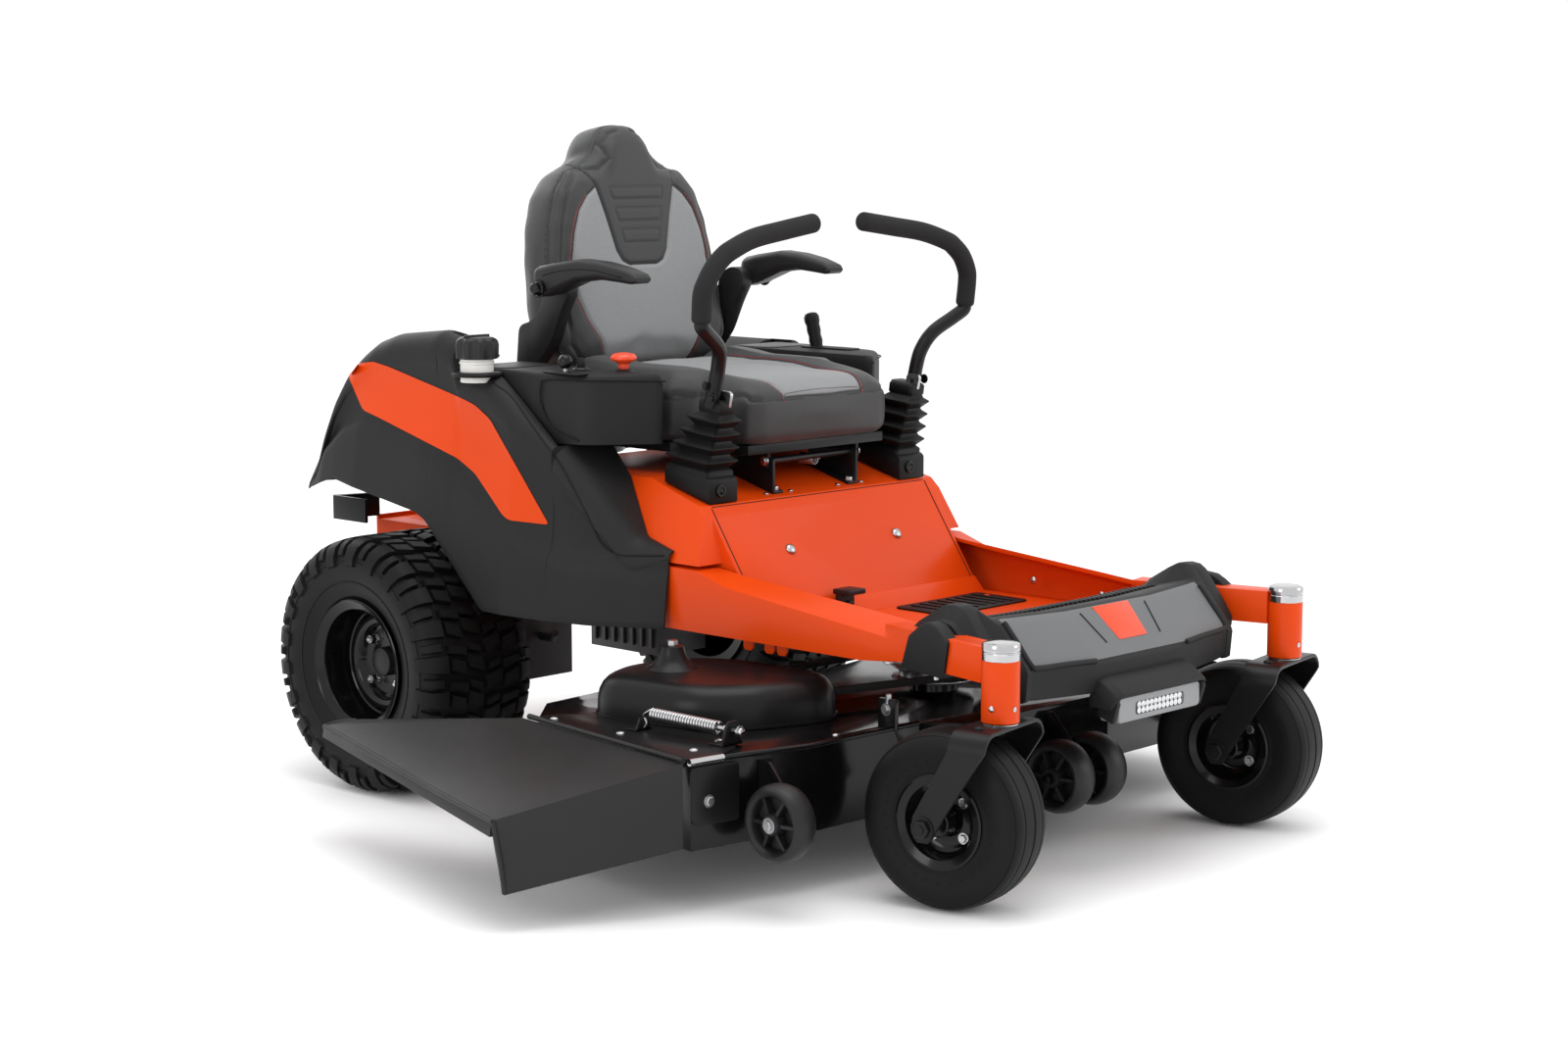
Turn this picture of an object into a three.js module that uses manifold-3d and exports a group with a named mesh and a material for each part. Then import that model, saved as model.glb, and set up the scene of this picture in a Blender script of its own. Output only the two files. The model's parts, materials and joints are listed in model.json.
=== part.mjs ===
// A zero turn mower with a 54-inch side-discharge deck, as an assembly of separate parts.
// Millimetres. While it is laid out, x = 0 is the centre plane (plus is the operator's left),
// y = 0 is the rear axle (minus is forward) and z = 0 is the ground.
import * as THREE from "three";
import { mergeVertices } from "three/addons/utils/BufferGeometryUtils.js";
import Module from "manifold-3d";

const wasm = await Module();
wasm.setup();

// ---------------------------------------------------------------- driving dimensions
const GAP = 0.4;
const SHEET = 4;

const REAR_TYRE = { radius: 228.5, width: 237, bead: 104.5, x: 430.5 };
const CASTER_TYRE = { radius: 139.5, width: 105, bead: 65.5 };
const CASTER = { x: 372, y: -1326, swivel: THREE.MathUtils.degToRad(10.7), trail: 77.5 };
const BARREL = { radius: 29, bottom: 294.5, capBottom: 388, top: 411.5, bore: 13.5 };

const RAIL = { outer: 335, inner: 285, bottom: 341, front: -1098, rear: -380 };
const REAR_RAIL = { outer: 274, inner: 230, bottom: 362, top: 440, front: -420, rear: 270 };
const FLOOR_Z = 352;
const BOX = { half: 278, foot: 332, footZ: 450, topZ: 580, frontTopZ: 543, bottomZ: 366, rear: -170 };
const SEAT_HINGE = { y: -585, z: 602 };
const BACK = { top: 1181, y: -68, depth: 122, lean: 0.155 };
const ARM_PIVOT = { x: 258, y: -200, z: 884 };
const LEVER = { x: 238, pivotY: -572, pivotZ: 500, swingX: 243, swingZ: 704, tube: 12.5, grip: 17 };
const LIFT_LEVER = { x: 340, y: -330, z: 600 };

const DECK = { top: 232, bottom: 98, sheet: 4 };
const SPINDLE_SIDE = { x: 432, y: -758 };
const SPINDLE_CENTRE = { x: 0, y: -877 };
const BLADE = { length: 448, width: 57, z: 115, thick: 6 };
const PULLEY = { radius: 72, groove: 60, bottom: 250, top: 274 };
const DECK_WHEEL = { radius: 60, width: 46, x: 602, y: -1094, z: 141 };
const ROLLER = { radius: 60, width: 52, x: 42, y: -1180, z: 134 };
const HINGE_FRONT = [-714, -1002];
const HINGE_REAR = [-652, -574];
const CRANK = { x: 0, y: 120 };

// ---------------------------------------------------------------- materials
const material = (color, roughness, metalness) =>
  new THREE.MeshStandardMaterial({ color, roughness, metalness });
const ORANGE = material(0xf2541b, 0.38, 0.1);
const BLACK_GLOSS = material(0x0d0e10, 0.22, 0.2);
const BLACK_SATIN = material(0x1a1b1d, 0.5, 0.2);
const CHARCOAL = material(0x3a3b3d, 0.6, 0);
const GREY = material(0x55575a, 0.55, 0);
const RUBBER = material(0x17181a, 0.85, 0);
const DARK_RUBBER = material(0x35373a, 0.8, 0);
const VINYL = material(0x3b3c3f, 0.6, 0);
const FOAM = material(0x222326, 0.9, 0);
const STEEL = material(0xb9bcc0, 0.35, 0.9);
const CAST = material(0x8d8f92, 0.6, 0.7);
const SILVER = material(0xc4c6c8, 0.4, 0.6);
const RED = material(0xe0401c, 0.5, 0);
const BELT = material(0x1b1b1c, 0.9, 0);

// ---------------------------------------------------------------- geometry helpers
function signedVolume(geometry) {
  const flat = geometry.index ? geometry.toNonIndexed() : geometry;
  const p = flat.attributes.position;
  const a = new THREE.Vector3();
  const b = new THREE.Vector3();
  const c = new THREE.Vector3();
  let total = 0;
  for (let i = 0; i < p.count; i += 3) {
    a.fromBufferAttribute(p, i);
    b.fromBufferAttribute(p, i + 1);
    c.fromBufferAttribute(p, i + 2);
    total += a.dot(b.cross(c));
  }
  return total;
}

function toSolid(geometry) {
  const bare = new THREE.BufferGeometry();
  bare.setAttribute("position", geometry.attributes.position.clone());
  if (geometry.index) bare.setIndex(geometry.index.clone());
  const merged = mergeVertices(bare, 1e-3);
  const triVerts = Uint32Array.from(merged.index.array);
  if (signedVolume(merged) < 0) {
    for (let i = 0; i < triVerts.length; i += 3) {
      [triVerts[i], triVerts[i + 1]] = [triVerts[i + 1], triVerts[i]];
    }
  }
  const vertProperties = Float32Array.from(merged.attributes.position.array);
  return new wasm.Manifold(new wasm.Mesh({ numProp: 3, vertProperties, triVerts }));
}

function toGeometry(solid) {
  const mesh = solid.getMesh();
  const geometry = new THREE.BufferGeometry();
  const corners = Float32Array.from(mesh.vertProperties);
  geometry.setAttribute("position", new THREE.BufferAttribute(corners, 3));
  geometry.setIndex(new THREE.BufferAttribute(Uint32Array.from(mesh.triVerts), 1));
  return geometry;
}

const join = (...pieces) => toGeometry(pieces.map(toSolid).reduce((a, b) => a.add(b)));
const cut = (base, ...tools) =>
  toGeometry(tools.map(toSolid).reduce((a, b) => a.subtract(b), toSolid(base)));
const common = (a, b) => toGeometry(toSolid(a).intersect(toSolid(b)));
const mirrored = (geometry) => toGeometry(toSolid(geometry.clone().scale(-1, 1, 1)));

// A box given by its lowest and highest corners.
function box(low, high) {
  const size = high.map((value, i) => value - low[i]);
  const centre = high.map((value, i) => (value + low[i]) / 2);
  return new THREE.BoxGeometry(...size).translate(...centre);
}

function outline(points) {
  return new THREE.Shape(points.map(([a, b]) => new THREE.Vector2(a, b)));
}

const plain = (depth) => ({ depth, bevelEnabled: false, curveSegments: 6 });

// An (x, y) outline drawn up from z = bottom to z = top.
function slab(points, bottom, top) {
  const shape = points instanceof THREE.Shape ? points : outline(points);
  return new THREE.ExtrudeGeometry(shape, plain(top - bottom)).translate(0, 0, bottom);
}

// A (y, z) outline drawn across from x = low to x = high.
function sideSlab(points, low, high) {
  const turn = new THREE.Matrix4().makeBasis(
    new THREE.Vector3(0, 1, 0), new THREE.Vector3(0, 0, 1), new THREE.Vector3(1, 0, 0));
  return new THREE.ExtrudeGeometry(outline(points), plain(high - low))
    .applyMatrix4(turn).translate(low, 0, 0);
}

// An (x, z) outline drawn back from y = low to y = high.
function frontSlab(points, low, high) {
  return new THREE.ExtrudeGeometry(outline(points), plain(high - low))
    .rotateX(Math.PI / 2).translate(0, high, 0);
}

// A profile of [radius, height] turned about the z axis.
function turned(profile, segments = 24) {
  const points = profile.map(([r, h]) => new THREE.Vector2(r, h));
  if (profile[0][0] !== 0) points.push(points[0].clone());
  return new THREE.LatheGeometry(points, segments).rotateX(Math.PI / 2);
}

// The same, about the x axis.
const turnedX = (profile, segments = 24) => turned(profile, segments).rotateY(Math.PI / 2);

function rod(from, to, radius, sides = 12) {
  const a = new THREE.Vector3(...from);
  const b = new THREE.Vector3(...to);
  const turn = new THREE.Quaternion().setFromUnitVectors(
    new THREE.Vector3(0, 1, 0), b.clone().sub(a).normalize());
  const middle = a.clone().add(b).multiplyScalar(0.5);
  return new THREE.CylinderGeometry(radius, radius, a.distanceTo(b), sides)
    .applyQuaternion(turn).translate(middle.x, middle.y, middle.z);
}

// A round tube along a smooth curve through the points.
function tube(points, radius, steps, sides = 10) {
  const curve = new THREE.CatmullRomCurve3(points.map((p) => new THREE.Vector3(...p)), false, "centripetal");
  const ring = Array.from({ length: sides }, (_, i) => {
    const angle = (2 * Math.PI * i) / sides;
    return [radius * Math.cos(angle), radius * Math.sin(angle)];
  });
  return new THREE.ExtrudeGeometry(outline(ring), { steps, bevelEnabled: false, extrudePath: curve });
}

// A closed skin over loops of equal point counts, capped at both ends.
function loft(loops) {
  const count = loops[0].length;
  const positions = loops.flat(2);
  const index = [];
  for (let k = 0; k + 1 < loops.length; k += 1) {
    for (let i = 0; i < count; i += 1) {
      const j = (i + 1) % count;
      const [a, b, c, d] = [k * count + i, k * count + j, (k + 1) * count + j, (k + 1) * count + i];
      index.push(a, b, c, a, c, d);
    }
  }
  const cap = (loop, offset, flip) => {
    const flatLoop = flattened(loop);
    for (const [a, b, c] of THREE.ShapeUtils.triangulateShape(flatLoop, [])) {
      index.push(...(flip ? [a, c, b] : [a, b, c]).map((i) => i + offset));
    }
  };
  const clockwise = THREE.ShapeUtils.isClockWise(flattened(loops[0]));
  cap(loops[0], 0, !clockwise);
  cap(loops[loops.length - 1], (loops.length - 1) * count, clockwise);
  const geometry = new THREE.BufferGeometry();
  geometry.setAttribute("position", new THREE.Float32BufferAttribute(positions, 3));
  geometry.setIndex(index);
  return geometry;
}

// A loop seen square on to the axis that it varies least along.
function flattened(loop) {
  const spread = [0, 1, 2].map((axis) => {
    const values = loop.map((point) => point[axis]);
    return Math.max(...values) - Math.min(...values);
  });
  const drop = spread.indexOf(Math.min(...spread));
  const [u, v] = [0, 1, 2].filter((axis) => axis !== drop);
  return loop.map((point) => new THREE.Vector2(point[u], point[v]));
}

// An outline moved in by a distance along the bisector at each corner.
function inset(points, distance) {
  const area = THREE.ShapeUtils.area(points.map(([a, b]) => new THREE.Vector2(a, b)));
  const side = Math.sign(area);
  return points.map((point, i) => {
    const before = points[(i + points.length - 1) % points.length];
    const after = points[(i + 1) % points.length];
    const first = new THREE.Vector2(point[0] - before[0], point[1] - before[1]).normalize();
    const second = new THREE.Vector2(after[0] - point[0], after[1] - point[1]).normalize();
    const normalA = new THREE.Vector2(-first.y, first.x).multiplyScalar(side);
    const normalB = new THREE.Vector2(-second.y, second.x).multiplyScalar(side);
    const sum = normalA.clone().add(normalB);
    const move = sum.multiplyScalar(distance / Math.max(0.35, 1 + normalA.dot(normalB)));
    return [point[0] + move.x, point[1] + move.y];
  });
}

// A rounded rectangle centred on the origin.
function roundedRectangle(width, height, radius) {
  const shape = new THREE.Shape();
  const [w, h] = [width / 2, height / 2];
  shape.moveTo(-w + radius, -h);
  shape.lineTo(w - radius, -h);
  shape.absarc(w - radius, -h + radius, radius, -Math.PI / 2, 0);
  shape.lineTo(w, h - radius);
  shape.absarc(w - radius, h - radius, radius, 0, Math.PI / 2);
  shape.lineTo(-w + radius, h);
  shape.absarc(-w + radius, h - radius, radius, Math.PI / 2, Math.PI);
  shape.lineTo(-w, -h + radius);
  shape.absarc(-w + radius, -h + radius, radius, Math.PI, 1.5 * Math.PI);
  return shape;
}

// A value read off a list of [position, value] pairs, straight between them.
function along(table, position) {
  const upper = table.findIndex(([p]) => p <= position);
  if (upper === 0) return table[0][1];
  if (upper < 0) return table[table.length - 1][1];
  const [p0, v0] = table[upper - 1];
  const [p1, v1] = table[upper];
  return v0 + ((v1 - v0) * (position - p0)) / (p1 - p0);
}

const machine = new THREE.Group();

function part(name, geometry, finish) {
  const mesh = new THREE.Mesh(toGeometry(toSolid(geometry)), finish);
  mesh.name = name;
  machine.add(mesh);
  return mesh;
}

const SIDES = [["right", -1], ["left", 1]];

// A pair of parts drawn on the left (x > 0) and mirrored to the right.
function pair(name, geometry, finish) {
  part(`${name}_right`, mirrored(geometry), finish);
  part(`${name}_left`, geometry, finish);
}

// ---------------------------------------------------------------- rear wheels
function tyreProfile({ radius, width, bead }) {
  const w = width / 2;
  const half = [[bead, w * 0.78], [bead + 13, w * 0.84], [radius * 0.75, w], [radius * 0.9, w * 0.98],
    [radius * 0.97, w * 0.88], [radius, w * 0.7]];
  return [...half, ...half.map(([r, a]) => [r, -a]).reverse()];
}

function rearRim() {
  const rim = turnedX([[0, 36], [60, 36], [66, 52], [90, 52], [97, 44], [97, 102], [118, 110],
    [118, 106.5], [102.5, 102], [102.5, -102], [118, -106.5], [118, -110], [97, -105], [97, 38],
    [88, 46], [71, 46], [64, 30], [0, 30]].reverse(), 20);
  const hub = turnedX([[0, 31], [46, 31], [46, 20], [30, 14], [30, -60], [16, -62], [16, -124],
    [0, -124]], 16);
  const nuts = Array.from({ length: 4 }, (_, i) => {
    const angle = Math.PI / 4 + (i * Math.PI) / 2;
    const [y, z] = [50.8 * Math.cos(angle), 50.8 * Math.sin(angle)];
    return rod([34, y, z], [50, y, z], 10, 6);
  });
  const cap = turnedX([[0, 35], [24, 35], [22, 54], [10, 58], [0, 58]], 16);
  return join(rim, hub, cap, ...nuts).translate(REAR_TYRE.x, 0, REAR_TYRE.radius);
}

pair("rear_rim", rearRim(), BLACK_GLOSS);
pair("rear_tyre", turnedX(tyreProfile(REAR_TYRE), 30)
  .translate(REAR_TYRE.x, 0, REAR_TYRE.radius), RUBBER);

// ---------------------------------------------------------------- casters
// Built with the swivel axis on x = 0, y = 0 and the wheel trailing to plus y.
function casterFork() {
  const axle = [CASTER.trail, CASTER_TYRE.radius];
  const [ay, az] = axle;
  const leg = [[-24, 291], [-24, 268], [ay - 21, az - 4], [ay - 12, az - 19], [ay + 12, az - 19],
    [ay + 21, az - 4], [ay + 18, az + 16], [36, 270], [36, 291]];
  const legs = [[-95, -89], [89, 95]].map(([low, high]) => sideSlab(leg, low, high));
  const bridge = box([-95, -24, 284], [95, 36, 291]);
  const spindle = turned([[0, 286], [26, 286], [26, 292.5], [12.5, 292.5], [12.5, 376], [0, 376]], 20);
  const bolt = rod([-104, ...axle], [104, ...axle], 8, 12);
  const heads = [-1, 1].map((side) => rod([side * 94, ...axle], [side * 104, ...axle], 13, 6));
  return join(...legs, bridge, spindle, bolt, ...heads);
}

const casterRim = () => turnedX([[8.8, -62], [8.8, 62], [20, 62], [22, 8], [57, 6], [57, 50], [74, 50],
  [74, 46.5], [63.5, 44], [63.5, -44], [74, -46.5], [74, -50], [57, -50], [57, -6], [22, -8],
  [20, -62]], 18);

for (const [side, sign] of SIDES) {
  const place = (geometry) => geometry.rotateZ(CASTER.swivel).translate(sign * CASTER.x, CASTER.y, 0);
  const atAxle = (geometry) => place(geometry.translate(0, CASTER.trail, CASTER_TYRE.radius));
  part(`caster_fork_${side}`, place(casterFork()), BLACK_SATIN);
  part(`caster_rim_${side}`, atAxle(casterRim()), BLACK_GLOSS);
  const tyre = turnedX(tyreProfile(CASTER_TYRE), 24).rotateX(Math.PI / 24);
  part(`caster_tyre_${side}`, atAxle(tyre), RUBBER);
}

// ---------------------------------------------------------------- frame
const ARM = { start: [310, -1066], end: [364, -1304], half: 22, bottom: 350, top: 404 };

function frontArm(clearance) {
  const [x0, y0] = ARM.start;
  const [x1, y1] = ARM.end;
  const length = Math.hypot(x1 - x0, y1 - y0);
  const half = (ARM.half + clearance) / length;
  const [dx, dy] = [(y0 - y1) * half, (x1 - x0) * half];
  const corners = [[x0 + dx, y0 + dy], [x0 - dx, y0 - dy], [x1 - dx, y1 - dy], [x1 + dx, y1 + dy]];
  return slab(corners, ARM.bottom - clearance, ARM.top + clearance);
}

// The rail is a channel, open inboard. Each station is [y, underside, inner top, outer top].
const RAIL_STATIONS = [[RAIL.front, 349, 403, 380], [-1012, RAIL.bottom, 411, 390],
  [-707, RAIL.bottom, 437, 424], [-650, RAIL.bottom, 444, 443], [RAIL.rear, RAIL.bottom, 447, 447]];

function rail(wall) {
  const inner = RAIL.inner - (wall > 0 ? 10 : 0);
  const outer = RAIL.outer - wall;
  const ends = [RAIL.front, RAIL.rear];
  return loft(RAIL_STATIONS.map(([y, low, innerTop, outerTop]) => {
    const at = ends.includes(y) ? y + wall * Math.sign((RAIL.front + RAIL.rear) / 2 - y) : y;
    return [[inner, at, low + wall], [outer, at, low + wall], [outer, at, outerTop - wall],
      [inner, at, innerTop - wall]];
  }));
}

function frameSide() {
  const channel = cut(rail(0), rail(SHEET));
  const { radius, bottom, capBottom, top, bore } = BARREL;
  const barrel = turned([[0, bottom], [radius, bottom], [radius, capBottom], [25, capBottom + 2],
    [25, top - 3], [22, top], [0, top]], 24);
  const hole = turned([[0, bottom - 5], [bore, bottom - 5], [bore, 380], [0, 380]], 20);
  const moved = (geometry) => geometry.translate(CASTER.x, CASTER.y, 0);
  return cut(join(channel, frontArm(0), moved(barrel)), moved(hole));
}
pair("frame_side", frameSide(), ORANGE);

function rearFrame() {
  const { outer, inner, bottom, top, front, rear } = REAR_RAIL;
  const rails = [[-outer, -inner], [inner, outer]].flatMap(([low, high]) =>
    [box([low, front, bottom], [low + SHEET, rear, top]),
      box([high - SHEET, front, bottom], [high, rear, top]),
      box([low, front, top - SHEET], [high, rear, top])]);
  const enginePlate = box([-inner - 2, -40, top - 6], [inner + 2, rear, top]);
  const tailPlate = box([-outer, rear - 6, bottom - 40], [outer, rear, top + 8]);
  const saddle = box([-inner - 2, front, bottom], [inner + 2, front + 30, top]);
  const loop = [1, -1].flatMap((sign) => {
    const bar = (points) => slab(points.map(([x, y]) => [sign * x, y]), 446, 490);
    return [bar([[272, 262], [272, 269], [352, 298], [358, 292], [358, 286]]),
      bar([[352, 298], [358, 292], [358, 196], [352, 196]])];
  });
  return cut(join(...rails, enginePlate, tailPlate, saddle, ...loop),
    rod([CRANK.x, CRANK.y, top - 20], [CRANK.x, CRANK.y, top + 10], 32, 20));
}
part("rear_frame", rearFrame(), ORANGE);

function floorPan() {
  const pan = sideSlab([[-734, FLOOR_Z + 8], [-734, FLOOR_Z + 11], [-745, FLOOR_Z], [-1098, FLOOR_Z],
    [-1098, FLOOR_Z - 3], [-744, FLOOR_Z - 3]], -284, 284);
  const crossTube = box([-284, -1150, 345], [284, -1096, 372]);
  return join(pan, crossTube);
}
part("floor_pan", floorPan(), ORANGE);

// The seat box is a folded sheet: a sloping front panel and top between side walls that flare at the foot.
function seatBoxSolid(wall) {
  const open = wall > 0 ? 10 : 0;
  const rear = BOX.rear + open;
  const top = [[-615 + wall, BOX.frontTopZ - wall], [-480 + wall * 0.3, BOX.topZ - wall],
    [rear, BOX.topZ - wall]];
  const body = [[-736 + wall * 1.3, BOX.bottomZ - open], ...top, [rear, BOX.bottomZ - open]];
  const flare = [[-650 + wall, BOX.footZ + wall], [-628 + wall, 524 - wall], ...top,
    [rear, BOX.footZ + wall]];
  const half = [[281 - wall, BOX.footZ + wall], [BOX.foot - wall * 1.6, BOX.footZ + wall],
    [BOX.half - wall, BOX.topZ - wall]];
  const front = [...half, ...half.map(([x, z]) => [-x, z]).reverse()];
  const middle = sideSlab(body, -281 + wall, 281 - wall);
  const limit = box([-BOX.half + wall, -760, 300], [BOX.half - wall, rear + 1, 700]);
  const sides = common(sideSlab(flare, -340, 340), frontSlab(front, -760, rear + 1));
  return join(common(middle, limit), sides);
}
const boxTopZ = (y) => BOX.frontTopZ + ((y + 615) * (BOX.topZ - BOX.frontTopZ)) / 135;
const leverSlots = SIDES.map(([, sign]) =>
  box([sign * LEVER.x - 12, -612, 520], [sign * LEVER.x + 12, -524, 600]));
part("seat_box", cut(seatBoxSolid(0), seatBoxSolid(3), ...leverSlots), ORANGE);

// ---------------------------------------------------------------- foot plate and light bar
function footPlate() {
  const at = (x, points) => points.map(([y, z]) => [x, y, z]);
  const middle = [[-1100, 392], [-1232, 420], [-1250, 414], [-1312, 346], [-1312, 300], [-1296, 295],
    [-1292, 338], [-1236, 400], [-1104, 380]];
  const shoulder = [[-1100, 396], [-1210, 424], [-1236, 418], [-1292, 350], [-1288, 305], [-1272, 300],
    [-1270, 342], [-1220, 402], [-1104, 384]];
  const horn = [[-1104, 412], [-1172, 446], [-1206, 442], [-1262, 366], [-1256, 338], [-1240, 336],
    [-1238, 358], [-1188, 424], [-1110, 398]];
  const tip = [[-1112, 384], [-1166, 426], [-1200, 422], [-1246, 362], [-1242, 346], [-1230, 346],
    [-1224, 358], [-1184, 404], [-1122, 372]];
  const shell = loft([at(-334, tip), at(-300, horn), at(-250, shoulder), at(-110, middle), at(110, middle),
    at(250, shoulder), at(300, horn), at(334, tip)]);
  return cut(shell, frontArm(1.5), mirrored(frontArm(1.5)));
}
part("foot_plate", footPlate(), GREY);

function lightBar() {
  const face = roundedRectangle(212, 40, 8);
  return new THREE.ExtrudeGeometry(face, { depth: 36, bevelEnabled: false, curveSegments: 3 })
    .rotateX(Math.PI / 2).translate(0, -1309, 272);
}
part("light_bar", lightBar(), SILVER);

// ---------------------------------------------------------------- fenders and consoles
const FENDER_TOP = [[270, 526], [240, 582], [184, 692], [112, 768], [24, 806], [-100, 818], [-152, 806],
  [-166, 752], [-245, 745], [-300, 705], [-386, 635], [-450, 562], [-517, 487], [-586, 470]];
const FENDER_LOW = [[270, 512], [167, 541], [91, 529], [-75, 502], [-101, 490], [-248, 347], [-463, 340],
  [-586, 341]];
const FENDER_OUT = [[270, 430], [210, 450], [100, 462], [-300, 462], [-393, 440], [-463, 412], [-586, 352]];

// How far the inside of the skin lies below the outside, at each point across it.
const SKIN_DROP = [0, 1, 3, 4, SHEET, SHEET];

// The right fender stands higher, over the fuel tank.
const FENDER_RIGHT_TOP = 818;
const FENDER_LEFT_TOP = 762;

function fender(topLimit) {
  const stations = [270, 254, 240, 212, 184, 148, 112, 68, 24, -38, -75, -101, -110.5, -111.5, -134,
    -152, -166, -200, -248, -300, -345, -385, -386.5, -450, -517, -586];
  const sideHalf = (z) => BOX.half + ((BOX.topZ - Math.min(z, BOX.topZ)) * 54) / 131;
  const loops = stations.map((y) => {
    const top = Math.min(along(FENDER_TOP, y), topLimit);
    const low = along(FENDER_LOW, y);
    const out = along(FENDER_OUT, y);
    const edge = out - Math.min(24, (top - low) * 0.1);
    const inside = y > -111 ? 292 : Math.max(sideHalf(top) + 3, y > -386 ? 402 : 0);
    const size = Math.min(42, (top - low) * 0.6, edge - inside - 1);
    const fall = y > -111 ? Math.min((edge - size - inside) * 0.45, (top - low) * 0.5) : 0;
    const outer = [[out, low], [edge, top - size], [edge - size * 0.2, top - size * 0.4],
      [edge - size * 0.55, top - size * 0.08], [edge - size, top], [inside, top - fall]];
    const under = outer.map(([x, z], i) => [x - (i < 4 ? SHEET : 0), z - SKIN_DROP[i]]).reverse();
    under[under.length - 1][1] = low;
    return [...outer, ...under].map(([x, z]) => [x, y, z]);
  });
  return loft(loops);
}
const FUEL_CAP = { x: -424, y: -204, z: 774 };
const fuelNeck = turned([[0, 735], [25, 735], [25, FUEL_CAP.z], [0, FUEL_CAP.z]], 20);
const rightFender = mirrored(fender(FENDER_RIGHT_TOP));
part("fender_right", join(rightFender, fuelNeck.translate(FUEL_CAP.x, FUEL_CAP.y, 0)), CHARCOAL);
part("fender_left", fender(FENDER_LEFT_TOP), CHARCOAL);

const knurl = Array.from({ length: 24 }, (_, i) => {
  const angle = (2 * Math.PI * i) / 24;
  const radius = i % 2 ? 33 : 35;
  return [radius * Math.cos(angle), radius * Math.sin(angle)];
});
part("fuel_cap", slab(knurl, FUEL_CAP.z + GAP, 811).translate(FUEL_CAP.x, FUEL_CAP.y, 0), BLACK_SATIN);

const CONSOLE = { top: 757, bottom: 637 };
const consolePlan = [[262, -118], [396, -118], [396, -330], [372, -420], [258, -506]];

function console_(holes) {
  const shell = cut(slab(consolePlan, CONSOLE.bottom, CONSOLE.top),
    slab(inset(consolePlan, SHEET), CONSOLE.bottom - 10, CONSOLE.top - SHEET));
  return cut(shell, ...holes);
}
const PTO = { x: 286, y: -424 };
const THROTTLE = { x: 372, y: -372, pivotZ: 700 };
const ptoHole = rod([PTO.x, PTO.y, 740], [PTO.x, PTO.y, 780], 8, 12);
const throttleSlot = box([THROTTLE.x - 6, THROTTLE.y - 34, 740], [THROTTLE.x + 6, THROTTLE.y + 34, 780]);
part("console_right", mirrored(console_([ptoHole, throttleSlot])), CHARCOAL);
const liftSlot = box([LIFT_LEVER.x - 16, -382, 740], [LIFT_LEVER.x + 16, -262, 780]);
part("console_left", console_([liftSlot]), CHARCOAL);

const ptoKnob = turned([[0, 700], [6, 700], [6, 762], [11, 763], [11, 772], [20, 777], [20, 784], [12, 789],
  [0, 790]], 20);
part("pto_knob", ptoKnob.translate(-PTO.x, PTO.y, 0), RED);
const throttle = join(rod([0, 0, THROTTLE.pivotZ], [0, 0, 772], 3.5, 8),
  new THREE.SphereGeometry(12, 14, 10).translate(0, 0, 776),
  rod([-6, 0, THROTTLE.pivotZ], [6, 0, THROTTLE.pivotZ], 7, 10));
part("throttle_lever", throttle.translate(-THROTTLE.x, THROTTLE.y, 0), BLACK_SATIN);

function liftLever() {
  const up = (t) => [LIFT_LEVER.x, LIFT_LEVER.y + 58 * t, LIFT_LEVER.z + 222 * t];
  const { x, y, z } = LIFT_LEVER;
  return join(rod(up(0), up(0.8), 6, 10), rod(up(0.68), up(1), 13, 14),
    rod([x - 14, y, z], [x + 14, y, z], 12, 12));
}
part("lift_lever", liftLever(), FOAM);

// ---------------------------------------------------------------- seat
function seatBracket() {
  const plate = [[-604, boxTopZ(-604) + 4], [-604, 606], [-578, 614], [-488, 600], [-488, boxTopZ(-488) + 4]];
  const foot = [[-604, boxTopZ(-604) + GAP], [-604, boxTopZ(-604) + 5], [-488, boxTopZ(-488) + 5],
    [-488, boxTopZ(-488) + GAP]];
  return join(...[-1, 1].flatMap((sign) => {
    const span = [sign * 102, sign * 108].sort((a, b) => a - b);
    const reach = [sign * 82, sign * 108].sort((a, b) => a - b);
    return [sideSlab(plate, ...span), sideSlab(foot, ...reach)];
  }), rod([-108, SEAT_HINGE.y, SEAT_HINGE.z], [108, SEAT_HINGE.y, SEAT_HINGE.z], 6, 12));
}
part("seat_bracket", seatBracket(), BLACK_SATIN);

function seatPan() {
  const trayPlan = [[-170, -606], [170, -606], [184, -506], [222, -470], [222, -180], [-222, -180],
    [-222, -470], [-184, -506]];
  const tray = cut(slab(trayPlan, 618, 634), slab(inset(trayPlan, SHEET), 610, 631));
  const lugs = [-1, 1].map((sign) => {
    const span = [sign * 109, sign * 115].sort((a, b) => a - b);
    return sideSlab([[-598, 592], [-598, 632], [-556, 632], [-572, 592]], ...span);
  });
  const uprights = [-1, 1].map((sign) => {
    const span = [sign * 249, sign * 256].sort((a, b) => a - b);
    const sideBar = sideSlab([[-250, 618], [-250, 634], [-232, 860], [-192, 860], [-190, 618]], ...span);
    const step = sideSlab([[-250, 618], [-250, 631], [-190, 631], [-190, 618]],
      ...[sign * 215, sign * 256].sort((a, b) => a - b));
    return [sideBar, step];
  });
  return join(tray, ...lugs, ...uprights.flat());
}
part("seat_pan", seatPan(), BLACK_SATIN);

function cushion() {
  const bevel = 18;
  const half = [[150, -640], [182, -622], [192, -560], [196, -506], [238, -470], [242, -220], [210, -172]];
  const plan = inset([...half, ...half.map(([x, y]) => [-x, y]).reverse()], bevel);
  return new THREE.ExtrudeGeometry(outline(plan), { depth: 95 - 2 * bevel, bevelEnabled: true,
    bevelSize: bevel, bevelThickness: bevel, bevelSegments: 2 }).translate(0, 0, 635 + bevel);
}
part("seat_cushion", cushion(), VINYL);

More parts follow.
